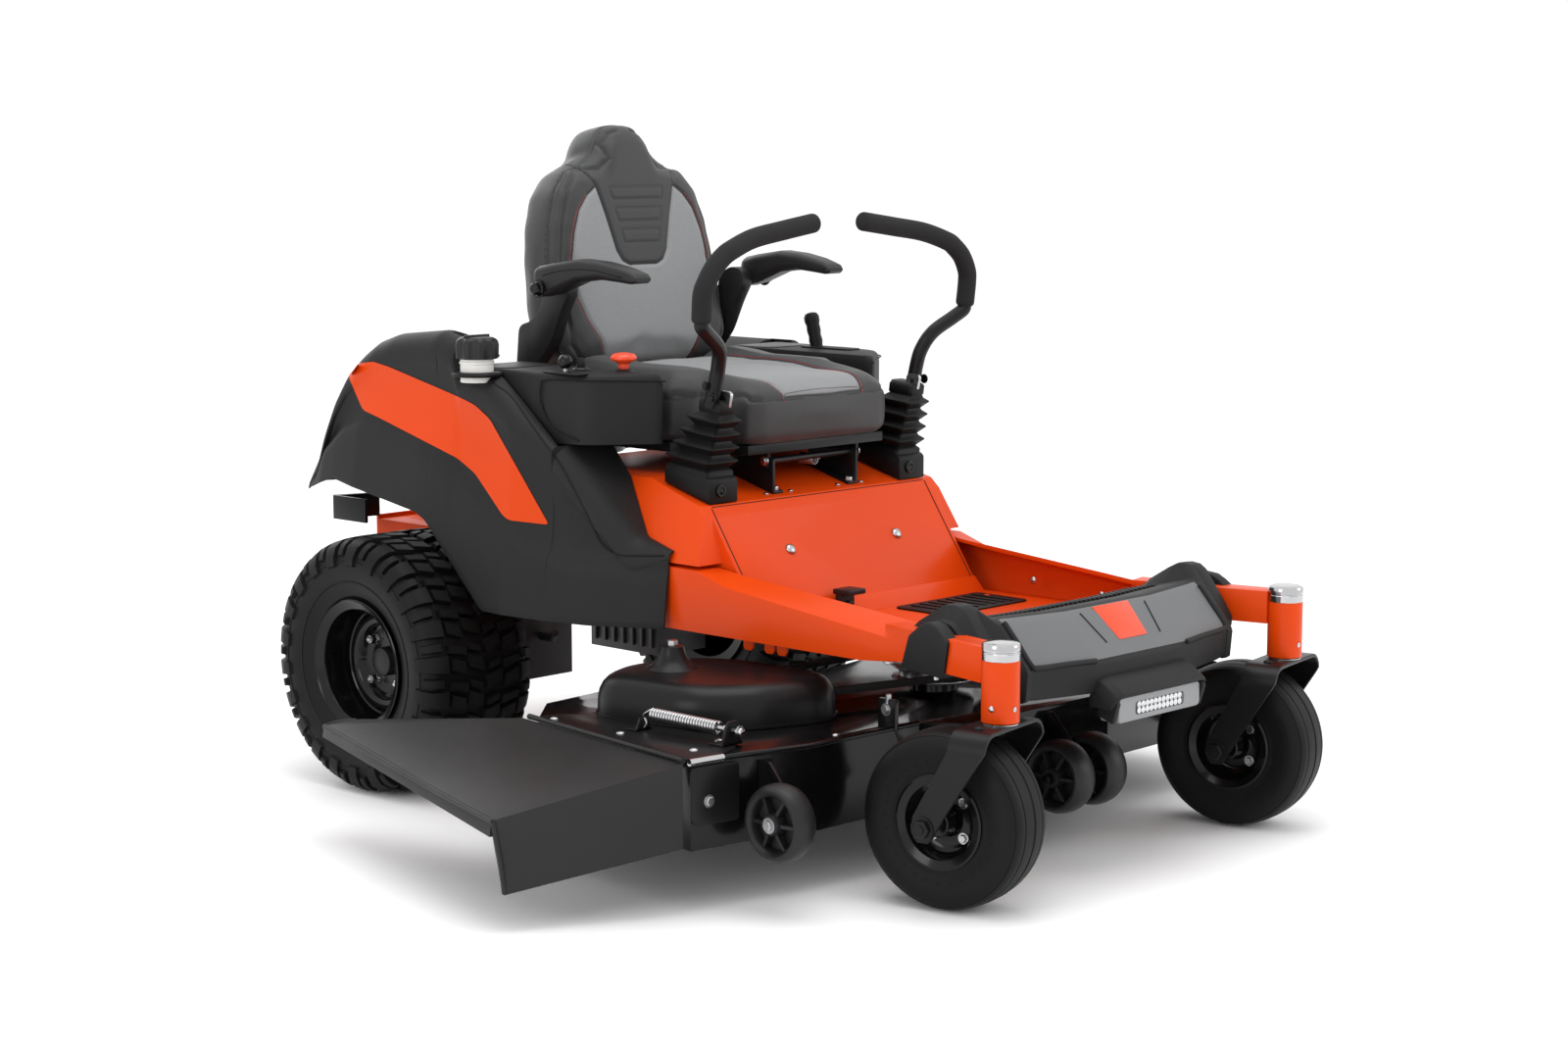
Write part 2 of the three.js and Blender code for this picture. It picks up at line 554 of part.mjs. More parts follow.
function backrest() {
  const bevel = 20;
  const half = [[150, 756], [190, 772], [214, 806], [218, 860], [213, 930], [202, 990], [180, 1050],
    [148, 1090], [98, 1112], [76, 1128], [56, 1158], [34, 1178], [14, 1181]];
  const full = inset([...half, ...half.map(([x, z]) => [-x, z]).reverse()], bevel);
  return new THREE.ExtrudeGeometry(outline(full), { depth: BACK.depth - 2 * bevel, bevelEnabled: true,
    bevelSize: bevel, bevelThickness: bevel, bevelSegments: 2 }).rotateX(Math.PI / 2)
    .translate(0, BACK.depth / 2 - bevel, -BACK.top).rotateX(-BACK.lean).translate(0, BACK.y, BACK.top);
}
part("seat_back", backrest(), VINYL);

function armrest() {
  const pad = sideSlab([[-186, 874], [-188, 926], [-292, 943], [-385, 931], [-428, 918], [-420, 902],
    [-320, 910], [-258, 898], [-218, 874]], -25, 25);
  const shear = new THREE.Matrix4().makeShear(0, 0, 0.07, 0, 0, 0);
  return pad.applyMatrix4(shear).translate(ARM_PIVOT.x + 14, 0, 0);
}
pair("armrest", armrest(), BLACK_SATIN);

// ---------------------------------------------------------------- control levers
const leverPath = [[256, -602, 707], [254, -611, 742], [256, -621, 775], [270, -636, 806], [308, -650, 831],
  [331, -657, 855], [333, -662, 890], [328, -667, 918], [309, -669, 946], [264, -667, 974], [200, -660, 996],
  [128, -656, 1006], [58, -655, 1011]];
const GRIP_START = 5;
const gripPath = [[332, -658.5, 858], ...leverPath.slice(GRIP_START + 1)];
const tubePath = [...leverPath.slice(0, GRIP_START), [329, -657, 845], [331, -658, 852]];

pair("lever", tube(tubePath, LEVER.tube, 14, 8), BLACK_SATIN);
pair("grip", tube(gripPath, LEVER.grip, 18, 10), FOAM);

function leverPlate() {
  const bar = sideSlab([[LEVER.pivotY - 16, 496], [-622, 734], [-592, 738], [LEVER.pivotY + 16, 500]],
    LEVER.x - 3, LEVER.x + 3);
  const { x, pivotY, pivotZ } = LEVER;
  const boss = rod([x - 16, pivotY, pivotZ], [x + 16, pivotY, pivotZ], 17, 16);
  return join(bar, boss);
}
pair("lever_plate", leverPlate(), STEEL);

function boot() {
  const centre = (z) => [239, -566 - (z - 552) * 0.13];
  const ring = (z, w, d) => {
    const [x, y] = centre(z);
    return [[x - w, y - d, z], [x + w, y - d, z], [x + w, y + d, z], [x - w, y + d, z]];
  };
  const loops = [ring(585, 31, 43), ring(602, 31, 43)];
  for (let i = 0; i < 4; i += 1) {
    const z = 606 + i * 21;
    loops.push(ring(z, 22 - i, 38 - i * 0.5), ring(z + 9, 30 - i * 2, 44 - i * 2));
  }
  loops.push(ring(698, 18, 36));
  const foot = sideSlab([[-614, boxTopZ(-614) + GAP], [-614, 590], [-518, 600],
    [-518, boxTopZ(-518) + GAP]], 206, 272);
  const bellows = join(foot, loft(loops));
  const well = loft([ring(530, 24, 42), ring(600, 24, 38), ring(602, 14, 34), ring(720, 12, 33)]);
  return cut(bellows, well);
}
pair("boot", boot(), RUBBER);

// ---------------------------------------------------------------- engine and drive
function engineBlock() {
  const crankcase = turned([[0, 441], [120, 441], [132, 452], [132, 548], [110, 560], [0, 560]], 20)
    .translate(0, 100, 0);
  const cylinders = [-1, 1].map((sign) => box([-52, 60, 452], [52, 190, 556]).rotateZ(sign * 0.72)
    .translate(0, 100, 0));
  const filter = rod([-100, 60, 490], [-165, 10, 490], 38, 16);
  return join(crankcase, ...cylinders, filter);
}
part("engine_block", engineBlock(), CAST);

function engineShroud() {
  const cowl = turned([[0, 562], [152, 562], [152, 640], [128, 668], [92, 690], [0, 690]], 24)
    .translate(0, 100, 0);
  const cleaner = slab([[-60, 120], [60, 120], [78, 250], [-78, 250]], 562, 716);
  return join(cowl, cleaner);
}
part("engine_shroud", engineShroud(), BLACK_SATIN);

const muffler = join(rod([-120, 350, 500], [120, 350, 500], 42, 20),
  rod([120, 350, 500], [168, 362, 488], 15, 12));
part("muffler", muffler, STEEL);

const crankPulley = turned([[0, 352], [70, 352], [70, 362], [30, 362], [14, 384], [14, 438], [0, 438]], 20);
part("crank_pulley", crankPulley.translate(CRANK.x, CRANK.y, 0), STEEL);

function transaxle() {
  const casing = box([110, -92, 172], [236, 96, 318]);
  const axleTube = rod([200, 0, REAR_TYRE.radius], [304, 0, REAR_TYRE.radius], 38, 18);
  const flange = rod([204, 0, REAR_TYRE.radius], [232, 0, REAR_TYRE.radius], 78, 20);
  const fan = rod([172, -30, 300], [172, -30, 338], 66, 16);
  const foot = box([130, -70, 310], [230, -40, 352]);
  return join(casing, axleTube, flange, fan, foot);
}
pair("transaxle", transaxle(), CAST);

// ---------------------------------------------------------------- cutting deck
const SPINDLES = [["right", -SPINDLE_SIDE.x, SPINDLE_SIDE.y], ["centre", SPINDLE_CENTRE.x, SPINDLE_CENTRE.y],
  ["left", SPINDLE_SIDE.x, SPINDLE_SIDE.y]];
const deckRight = [[-540, -505], [-634, -590], [-696, -1000], [-604, -1014], [-493, -1046],
  [-240, -1052], [-170, -1114]];
const deckLeft = [[170, -1114], [240, -1052], [493, -1046], [604, -1014], [686, -930], [686, -680],
  [610, -545], [500, -500], [380, -500], [230, -590], [0, -632], [-230, -590], [-380, -492]];
const deckPlan = [...deckRight, ...deckLeft];

function deckShell() {
  const shell = cut(slab(deckPlan, DECK.bottom, DECK.top),
    slab(inset(deckPlan, DECK.sheet), DECK.bottom - 10, DECK.top - DECK.sheet));
  const discharge = box([-760, -975, DECK.bottom - 20], [-640, -640, 214]);
  const housings = SPINDLES.map(([, x, y]) => rod([x, y, 176], [x, y, 246], 42, 14));
  const bores = SPINDLES.map(([, x, y]) => rod([x, y, 160], [x, y, 260], 13.5, 12));
  const brackets = [-1, 1].flatMap((sign) => {
    const inner = sign * (DECK_WHEEL.x - DECK_WHEEL.width / 2 - 8);
    const outer = sign * (DECK_WHEEL.x + DECK_WHEEL.width / 2 + 2);
    const strap = sideSlab([[-1024, 160], [-1024, 222], [-1046, 222], [-1109, 154], [-1109, 127],
      [-1079, 127]], Math.min(inner, inner + sign * 6), Math.max(inner, inner + sign * 6));
    const tie = box([Math.min(inner, sign * 560), -1034, 180], [Math.max(inner, sign * 560) + 6, -1010, 222]);
    return [strap, tie, rod([inner, DECK_WHEEL.y, DECK_WHEEL.z], [outer, DECK_WHEEL.y, DECK_WHEEL.z], 8, 12)];
  });
  const mast = sideSlab([[-1111, 150], [-1111, 226], [-1130, 226], [-1196, 154], [-1196, 122],
    [-1166, 122]], -4, 4);
  const rollerAxle = rod([-78, ROLLER.y, ROLLER.z], [78, ROLLER.y, ROLLER.z], 8, 12);
  const hangers = [[-300, -600], [300, -600], [-300, -1040], [300, -1040]].map(([x, y]) =>
    box([x - 4, y - 18, DECK.top - 2], [x + 4, y + 18, DECK.top + 46]));
  return cut(join(cut(shell, discharge), ...housings, ...brackets, mast, rollerAxle, ...hangers), ...bores);
}
part("deck_shell", deckShell(), BLACK_GLOSS);

const wheelWith = ({ radius, width }, bore) => turnedX([[bore, -width / 2], [bore, width / 2],
  [16, width / 2], [22, width * 0.3], [radius * 0.72, width * 0.3], [radius * 0.8, width * 0.5],
  [radius, width * 0.38],
  [radius, -width * 0.38], [radius * 0.8, -width * 0.5], [radius * 0.72, -width * 0.3], [22, -width * 0.3],
  [16, -width / 2]], 18).rotateX(Math.PI / 18);
for (const [name, size] of [["deck_wheel", DECK_WHEEL], ["front_roller", ROLLER]]) {
  pair(name, wheelWith(size, 8.8).translate(size.x, size.y, size.z), BLACK_GLOSS);
}

const spindle = turned([[0, BLADE.z + BLADE.thick + GAP], [24, BLADE.z + BLADE.thick + GAP], [24, 136],
  [12.5, 138], [12.5, 248.5], [PULLEY.radius, PULLEY.bottom], [PULLEY.radius, PULLEY.bottom + 4],
  [PULLEY.groove, PULLEY.bottom + 5], [PULLEY.groove, PULLEY.top - 5], [PULLEY.radius, PULLEY.top - 4],
  [PULLEY.radius, PULLEY.top], [20, PULLEY.top], [16, PULLEY.top + 10], [0, PULLEY.top + 10]], 16);

function blade() {
  const half = BLADE.length / 2;
  const [w, z, t] = [BLADE.width / 2, BLADE.z, BLADE.thick];
  const bar = box([-half, -w, z], [half, w, z + t]);
  const wings = [1, -1].map((sign) => sideSlab([[w * 0.2, z], [w, z], [w, z + t], [w * 1.0, z + 22],
    [w * 0.86, z + 22], [w * 0.3, z + t]], half - 110, half - 20).rotateZ(sign > 0 ? 0 : Math.PI));
  const clip = rod([0, 0, z - 10], [0, 0, z + 1], 20, 6);
  return cut(join(bar, ...wings, clip), ...[1, -1].map((sign) =>
    box([half - 120, -w - 5, z + t * 0.45], [half + 1, -w + 10, z + t + 1]).rotateZ(sign > 0 ? 0 : Math.PI)));
}

for (const [name, x, y] of SPINDLES) {
  part(`spindle_${name}`, spindle.clone().translate(x, y, 0), STEEL);
  part(`blade_${name}`, blade().translate(x, y, 0), STEEL);
}

// The belt's outline round the pulleys, at a distance from their centres.
function beltOutline(distance) {
  const centres = SPINDLES.map(([, x, y]) => new THREE.Vector2(x, y));
  const points = [];
  centres.forEach((centre, i) => {
    const before = centres[(i + 2) % 3];
    const after = centres[(i + 1) % 3];
    const start = centre.clone().sub(before).angle() - Math.PI / 2;
    let sweep = after.clone().sub(centre).angle() - Math.PI / 2 - start;
    while (sweep < 0) sweep += 2 * Math.PI;
    const steps = Math.max(2, Math.round(sweep / 0.3));
    for (let k = 0; k <= steps; k += 1) {
      const angle = start + (sweep * k) / steps;
      points.push([centre.x + distance * Math.cos(angle), centre.y + distance * Math.sin(angle)]);
    }
  });
  return points;
}
const beltShape = outline(beltOutline(PULLEY.radius));
const beltInside = beltOutline(PULLEY.groove + 2).map(([x, y]) => new THREE.Vector2(x, y));
beltShape.holes.push(new THREE.Path(beltInside));
part("deck_belt", slab(beltShape, 256, 268), BELT);

function beltCover() {
  const foot = [[566, -640], [540, -828], [470, -900], [330, -944], [262, -900], [262, -700],
    [330, -600], [470, -582]];
  const shrink = (distance, z) => inset(foot, distance).map(([x, y]) => [x, y, z]);
  const outer = join(loft([shrink(0, DECK.top + GAP), shrink(2, 276), shrink(24, 300)]),
    rod([432, -690, 290], [432, -690, 316], 26, 16));
  const inner = loft([shrink(3, DECK.top - 5), shrink(5, 275), shrink(26, 297)]);
  const mouth = box([200, -960, 236], [320, -560, 290]);
  return cut(outer, inner, mouth);
}
pair("belt_cover", beltCover(), BLACK_GLOSS);

function chuteDeflector() {
  const frontInner = [HINGE_FRONT[0], HINGE_FRONT[1], 234];
  const rearInner = [HINGE_REAR[0], HINGE_REAR[1], 234];
  const rearTip = [-770, -210, 188];
  const rearInnerLow = [-716, -226, 192];
  const frontOuter = [-958, -852, 166];
  const drop = (points, dx, dy, dz) => points.map(([x, y, z]) => [x + dx, y + dy, z + dz]);
  const topLoop = [frontInner, frontOuter, rearTip, rearInnerLow, rearInner];
  const top = loft([topLoop, drop(topLoop, 0, 0, -6)]);
  const frontFoot = [[-954, -874, 58], [-716, -1003, 106]];
  const skirtLoop = [frontInner, frontOuter, ...frontFoot];
  const skirt = loft([skirtLoop, drop(skirtLoop, 2, 6, 0)]);
  const lip = [frontOuter, rearTip, [-772, -208, 168], [-960, -850, 142]];
  const edge = loft([lip, drop(lip, 6, -1, 0)]);
  return join(top, skirt, edge);
}
part("chute_deflector", chuteDeflector(), DARK_RUBBER);

// ---------------------------------------------------------------- the finished part
// The origin is put at the bottom centre of the whole machine's box.
machine.updateMatrixWorld(true);
const bounds = new THREE.Box3().setFromObject(machine);
const centre = bounds.getCenter(new THREE.Vector3());
machine.position.set(-centre.x, -centre.y, -bounds.min.z);

const zeroTurnMower = new THREE.Group();
zeroTurnMower.add(machine);
export default zeroTurnMower;
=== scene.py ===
# The looks of the zero turn mower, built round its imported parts.
# Shapes are laid out in millimetres: x = 0 is the centre plane (plus is the operator's left),
# y = 0 is the rear axle (minus is forward) and z = 0 is the plane the tyres' round outlines touch.
import json
import math
import bmesh
import bpy
import numpy as np
from mathutils import Matrix, Vector
from mathutils.bvhtree import BVHTree


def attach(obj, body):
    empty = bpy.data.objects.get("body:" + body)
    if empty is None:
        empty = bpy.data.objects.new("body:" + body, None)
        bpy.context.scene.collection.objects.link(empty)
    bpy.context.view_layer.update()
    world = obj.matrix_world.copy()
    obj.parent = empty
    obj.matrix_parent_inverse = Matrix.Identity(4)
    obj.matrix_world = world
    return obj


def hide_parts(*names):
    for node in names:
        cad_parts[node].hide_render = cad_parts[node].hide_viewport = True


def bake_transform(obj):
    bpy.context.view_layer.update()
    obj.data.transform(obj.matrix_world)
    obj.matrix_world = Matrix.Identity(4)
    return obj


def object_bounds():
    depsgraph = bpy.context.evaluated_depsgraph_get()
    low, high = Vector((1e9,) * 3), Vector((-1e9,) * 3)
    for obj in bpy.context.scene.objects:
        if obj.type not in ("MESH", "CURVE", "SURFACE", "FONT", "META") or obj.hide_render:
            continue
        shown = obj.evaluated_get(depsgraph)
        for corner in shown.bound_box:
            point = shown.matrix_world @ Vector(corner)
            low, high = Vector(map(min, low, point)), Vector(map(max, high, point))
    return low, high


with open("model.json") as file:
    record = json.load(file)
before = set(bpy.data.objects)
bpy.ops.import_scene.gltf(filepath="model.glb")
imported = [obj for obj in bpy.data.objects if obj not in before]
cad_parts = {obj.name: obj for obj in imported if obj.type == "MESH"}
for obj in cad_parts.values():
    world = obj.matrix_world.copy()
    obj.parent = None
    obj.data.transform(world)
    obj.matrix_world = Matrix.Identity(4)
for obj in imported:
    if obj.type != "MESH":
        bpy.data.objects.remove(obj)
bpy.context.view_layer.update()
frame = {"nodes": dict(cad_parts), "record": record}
NODES = frame["nodes"]
JOINTS = {joint["name"]: joint for joint in frame["record"]["behaviour"]["joints"]}
TYRE_RADIUS = 228.5
AXLE = (Vector(JOINTS["rear_wheel_right_spin"]["pos_m"]) + Vector(JOINTS["rear_wheel_left_spin"]["pos_m"])) / 2
ORIGIN = AXLE - Vector((0, 0, TYRE_RADIUS / 1000))
SIDES = (("right", -1), ("left", 1))


def at(x, y, z):
    return ORIGIN + Vector((x, y, z)) / 1000


# ---------------------------------------------------------------- materials
def node(tree, kind, **inputs):
    made = tree.nodes.new("ShaderNode" + kind)
    for key, value in inputs.items():
        made.inputs[key.replace("_", " ")].default_value = value
    return made


class Finish:
    """A Principled material with patches of tone, a fine grain and a varying gloss."""

    def __init__(self, name, colour, rough, metallic=0.0, coat=0.0, sheen=0.0, grain=500.0, bump=0.1,
                 patch=7.0, vary=0.08, swing=0.05, specular=0.5):
        self.material = bpy.data.materials.new(name)
        self.material.use_nodes = True
        self.tree = self.material.node_tree
        self.shader = self.tree.nodes["Principled BSDF"]
        self.shader.inputs["Metallic"].default_value = metallic
        self.shader.inputs["Coat Weight"].default_value = coat
        self.shader.inputs["Coat Roughness"].default_value = 0.06
        self.shader.inputs["Sheen Weight"].default_value = sheen
        self.shader.inputs["Specular IOR Level"].default_value = specular
        self.material.diffuse_color = (*colour, 1)
        self.place = self.tree.nodes.new("ShaderNodeTexCoord").outputs["Object"]
        self.patches = node(self.tree, "TexNoise", Scale=patch, Detail=6.0, Roughness=0.62)
        self.link(self.place, self.patches.inputs["Vector"])
        dark = [c * (1 - vary) for c in colour]
        light = [min(1, c * (1 + vary)) for c in colour]
        self.colour = self.blend(self.patches.outputs["Fac"], dark, light)
        self.rough = self.remap(self.patches.outputs["Fac"], 0.3, 0.7, max(0.02, rough - swing), rough + swing)
        self.fine = node(self.tree, "TexNoise", Scale=grain, Detail=3.0, Roughness=0.6)
        self.link(self.place, self.fine.inputs["Vector"])
        self.normal = None
        self.raise_by(self.fine.outputs["Fac"], bump, 0.0006)

    def link(self, source, target):
        self.tree.links.new(source, target)

    def maths(self, operation, a, b=None, clamp=False):
        made = self.tree.nodes.new("ShaderNodeMath")
        made.operation = operation
        made.use_clamp = clamp
        for i, value in enumerate((a, b)):
            if value is None:
                continue
            if isinstance(value, (int, float)):
                made.inputs[i].default_value = value
            else:
                self.link(value, made.inputs[i])
        return made.outputs[0]

    def remap(self, value, a, b, low, high):
        made = self.tree.nodes.new("ShaderNodeMapRange")
        self.link(value, made.inputs["Value"])
        for key, number in (("From Min", a), ("From Max", b), ("To Min", low), ("To Max", high)):
            made.inputs[key].default_value = number
        return made.outputs["Result"]

    def blend(self, factor, a, b):
        made = self.tree.nodes.new("ShaderNodeMix")
        made.data_type = "RGBA"
        self.link(factor, made.inputs["Factor"])
        for slot, value in ((6, a), (7, b)):
            if isinstance(value, (list, tuple)):
                made.inputs[slot].default_value = (*value[:3], 1)
            else:
                self.link(value, made.inputs[slot])
        return made.outputs[2]

    def raise_by(self, height, strength, distance):
        bump = node(self.tree, "Bump", Strength=strength, Distance=distance)
        self.link(height, bump.inputs["Height"])
        if self.normal is not None:
            self.link(self.normal, bump.inputs["Normal"])
        self.normal = bump.outputs["Normal"]

    def attribute(self, name):
        made = self.tree.nodes.new("ShaderNodeAttribute")
        made.attribute_name = name
        return made.outputs["Fac"]

    def inside(self, distance, soft=0.0004):
        return self.remap(distance, -soft, soft, 0, 1)

    def line(self, distance, half, soft=0.0005):
        return self.remap(distance, half - soft, half + soft, 1, 0)

    def dust(self, colour, amount, scale=3.0):
        """A thin film that gathers in patches and on faces that look up."""
        up = self.tree.nodes.new("ShaderNodeNewGeometry")
        split = self.tree.nodes.new("ShaderNodeSeparateXYZ")
        self.link(up.outputs["Normal"], split.inputs[0])
        cloud = node(self.tree, "TexNoise", Scale=scale, Detail=7.0, Roughness=0.7)
        self.link(self.place, cloud.inputs["Vector"])
        share = self.maths("MULTIPLY", self.remap(split.outputs["Z"], 0.0, 1.0, 0.35, 1.0),
                           self.remap(cloud.outputs["Fac"], 0.35, 0.75, 0.0, amount))
        self.colour = self.blend(share, self.colour, colour)

    def done(self):
        self.link(self.colour, self.shader.inputs["Base Color"])
        self.link(self.rough, self.shader.inputs["Roughness"])
        self.link(self.normal, self.shader.inputs["Normal"])
        return self.material


def plain(name, colour, rough, dust=0.0, **more):
    finish = Finish(name, colour, rough, **more)
    if dust:
        finish.dust((0.32, 0.3, 0.28), dust)
    return finish.done()


ORANGE_TONE = (0.65, 0.052, 0.0015)
CHARCOAL_TONE = (0.0105, 0.0106, 0.0110)
ORANGE = plain("orange_powder_coat", ORANGE_TONE, 0.36, coat=0.05, grain=380, bump=0.07, patch=4, vary=0.04,
               specular=0.15)
CHARCOAL = plain("charcoal_plastic", CHARCOAL_TONE, 0.56, grain=1100, bump=0.16, vary=0.12, dust=0.010, specular=0.22)
# A lighter grey given only to the foot plate's faces that look forward and up: painted light.
LIT_FACE_GREY = plain("grey_plastic", (0.118, 0.121, 0.126), 0.48, grain=1100, bump=0.16, vary=0.08, dust=0.03, specular=0.4)
BLACK_PLASTIC = plain("black_plastic", (0.010, 0.010, 0.011), 0.42, grain=1300, bump=0.1, vary=0.2, specular=0.3)
GLOSS_BLACK = plain("black_enamel", (0.003, 0.003, 0.0034), 0.17, coat=0.08, grain=260, bump=0.03, vary=0.2,
                    dust=0.006,
                    specular=0.22)
SATIN_BLACK = plain("black_powder_coat", (0.005, 0.005, 0.0055), 0.34, grain=500, bump=0.1, vary=0.2, dust=0.008,
                    specular=0.22)
TYRE = plain("tyre_rubber", (0.0045, 0.0045, 0.0048), 0.5, grain=420, bump=0.22, patch=14, vary=0.25, dust=0.008,
             specular=0.15)
# Near-black rubber for the real rubber parts; it is also painted shade on the beads and strips laid in gaps, creases,
# seams and slots.
RUBBER_AND_GAP_SHADE = plain("moulded_rubber_and_gap_shade", (0.0035, 0.0035, 0.0038), 0.5, grain=700, bump=0.2, vary=0.2, dust=0.008,
               specular=0.2)
DEFLECTOR = plain("deflector_rubber", (0.013, 0.013, 0.0136), 0.52, grain=900, bump=0.3, vary=0.15, dust=0.02,
                  specular=0.28)
FOAM = plain("grip_foam", (0.014, 0.014, 0.015), 0.85, grain=900, bump=0.65, vary=0.2, specular=0.25)
STEEL = plain("zinc_plate", (0.45, 0.45, 0.46), 0.27, metallic=1.0, grain=300, bump=0.08, vary=0.08)
CHROME = plain("bright_chrome", (0.50, 0.50, 0.51), 0.14, metallic=1.0, grain=120, bump=0.03, vary=0.03)
CAST = plain("dark_casting", (0.055, 0.056, 0.058), 0.5, metallic=0.5, grain=260, bump=0.5, vary=0.25, dust=0.05)
BRIGHT_CAST = plain("aluminium_casting", (0.33, 0.335, 0.34), 0.48, metallic=0.8, grain=320, bump=0.4, vary=0.15)
SILVER = plain("silver_plastic", (0.24, 0.245, 0.25), 0.4, metallic=0.3, grain=700, bump=0.06, vary=0.05)
WHITE = plain("white_polythene", (0.72, 0.71, 0.68), 0.42, grain=500, bump=0.08, vary=0.05)
KNOB_ORANGE = plain("orange_knob_plastic", (0.78, 0.055, 0.010), 0.35, grain=700, bump=0.06, vary=0.06)
BELT = plain("belt_rubber", (0.018, 0.018, 0.018), 0.8, grain=900, bump=0.4, vary=0.3)
LENS = plain("led_lens", (0.75, 0.76, 0.78), 0.12, metallic=0.6, coat=0.8, grain=150, bump=0.2, vary=0.15)


# ---------------------------------------------------------------- shapes
class Shape:
    """Vertices in millimetres, with faces and a material number for each face."""

    def __init__(self):
        self.verts, self.faces, self.numbers = [], [], []

    def add(self, made, number=0, mirror=1):
        verts, faces = made
        base = len(self.verts)
        self.verts += [(v[0] * mirror, v[1], v[2]) for v in verts]
        self.faces += [tuple(base + i for i in face) for face in faces]
        self.numbers += [number] * len(faces)
        return self


def lathe(profile, centre, axis=(1, 0, 0), segments=64):
    axis = Vector(axis).normalized()
    side = Vector((0, 0, 1)) if abs(axis.z) < 0.9 else Vector((0, 1, 0))
    side = (side - axis * side.dot(axis)).normalized()
    third = axis.cross(side)
    count = len(profile)
    verts, faces = [], []
    for k in range(segments):
        angle = 2 * math.pi * (k + 0.5) / segments
        out = side * math.cos(angle) + third * math.sin(angle)
        verts += [Vector(centre) + out * r + axis * h for r, h in profile]
    for k in range(segments):
        here, there = k * count, (k + 1) % segments * count
        for i in range(count):
            j = (i + 1) % count
            faces.append((here + i, there + i, there + j, here + j))
    return verts, faces


def spline(points, steps=8):
    """Points of a smooth curve through the given ones."""
    points = [Vector(p) for p in points]
    ends = [points[0] * 2 - points[1], *points, points[-1] * 2 - points[-2]]
    made = []
    for a, b, c, d in zip(ends, ends[1:], ends[2:], ends[3:]):
        for k in range(steps):
            t = k / steps
            made.append(0.5 * (2 * b + (c - a) * t + (2 * a - 5 * b + 4 * c - d) * t * t
                               + (3 * b - a - 3 * c + d) * t ** 3))
    return made + [points[-1]]


def tube(points, radius, sides=16, rounded=0.0):
    """A round bar along the points. rounded is how far each end draws in, as a share of the radius."""
    points = [Vector(p) for p in points]
    radii = [radius] * len(points)
    if rounded:
        first, last = points[0] - points[1], points[-1] - points[-2]
        first.normalize()
        last.normalize()
        reach = radius * rounded
        extra = [(math.sin(a), math.cos(a)) for a in (0.45, 0.9, 1.3)]
        points = ([points[0] + first * reach * s for s, _ in reversed(extra)] + points
                  + [points[-1] + last * reach * s for s, _ in extra])
        radii = ([radius * (1 - rounded + rounded * c) for _, c in reversed(extra)] + radii
                 + [radius * (1 - rounded + rounded * c) for _, c in extra])
    heading = (points[1] - points[0]).normalized()
    side = heading.orthogonal().normalized()
    verts, faces = [], []
    for i, point in enumerate(points):
        ahead = (points[min(i + 1, len(points) - 1)] - points[max(i - 1, 0)]).normalized()
        side = (side - ahead * side.dot(ahead)).normalized()
        up = ahead.cross(side)
        for k in range(sides):
            angle = 2 * math.pi * k / sides
            verts.append(point + (side * math.cos(angle) + up * math.sin(angle)) * radii[i])
    for i in range(len(points) - 1):
        for k in range(sides):
            j = (k + 1) % sides
            faces.append((i * sides + k, i * sides + j, (i + 1) * sides + j, (i + 1) * sides + k))
    faces.append(tuple(range(sides)))
    faces.append(tuple(range(len(verts) - sides, len(verts))))
    return verts, faces


def loft(loops, closed=False):
    count = len(loops[0])
    verts = [v for loop in loops for v in loop]
    faces = []
    rows = len(loops)
    for r in range(rows if closed else rows - 1):
        here, there = r * count, (r + 1) % rows * count
        for i in range(count):
            j = (i + 1) % count
            faces.append((here + i, here + j, there + j, there + i))
    if not closed:
        faces.append(tuple(range(count)))
        faces.append(tuple(range(len(verts) - count, len(verts))))
    return verts, faces


def prism(outline, axis, low, high):
    """An outline in the two other directions, drawn along the axis named."""
    def lift(p, h):
        return {"x": (h, p[0], p[1]), "y": (p[0], h, p[1]), "z": (p[0], p[1], h)}[axis]
    return loft([[lift(p, low) for p in outline], [lift(p, high) for p in outline]])


def block(low, high):
    return prism([(low[0], low[1]), (high[0], low[1]), (high[0], high[1]), (low[0], high[1])], "z", low[2], high[2])


def ring(width, height, radius, corners=4, centre=(0, 0)):
    """A rounded rectangle's points."""
    radius = min(radius, width / 2 - 0.01, height / 2 - 0.01)
    points = []
    for k, (sx, sy) in enumerate(((1, 1), (-1, 1), (-1, -1), (1, -1))):
        for i in range(corners + 1):
            angle = math.pi / 2 * (k + i / corners)
            points.append((centre[0] + sx * (width / 2 - radius) + radius * math.cos(angle),
                           centre[1] + sy * (height / 2 - radius) + radius * math.sin(angle)))
    return points


def along(table, position):
    """A value from (position, value) pairs whose positions fall, straight between them."""
    for (a, u), (b, v) in zip(table, table[1:]):
        if position >= b:
            return u if position >= a else u + (v - u) * (a - position) / (a - b)
    return table[-1][1]


def settle(mesh, angle):
    mesh.shade_smooth()
    mesh.set_sharp_from_angle(angle=math.radians(angle))


def bevel_edges(bm, width, turn, segments=2):
    edges = [e for e in bm.edges if len(e.link_faces) == 2 and e.calc_face_angle(0) > math.radians(turn)]
    bmesh.ops.bevel(bm, geom=edges, offset=width / 1000, segments=segments, profile=0.5, affect="EDGES",
                    clamp_overlap=True)


def finished(name, bm, materials, body, slot, replaces, angle):
    mesh = bpy.data.meshes.new(name)
    bm.to_mesh(mesh)
    bm.free()
    for material in materials:
        mesh.materials.append(material)
    settle(mesh, angle)
    piece = bpy.data.objects.new(name, mesh)
    bpy.context.scene.collection.objects.link(piece)
    if body:
        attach(piece, body)
    if replaces:
        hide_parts(*replaces)
    return piece


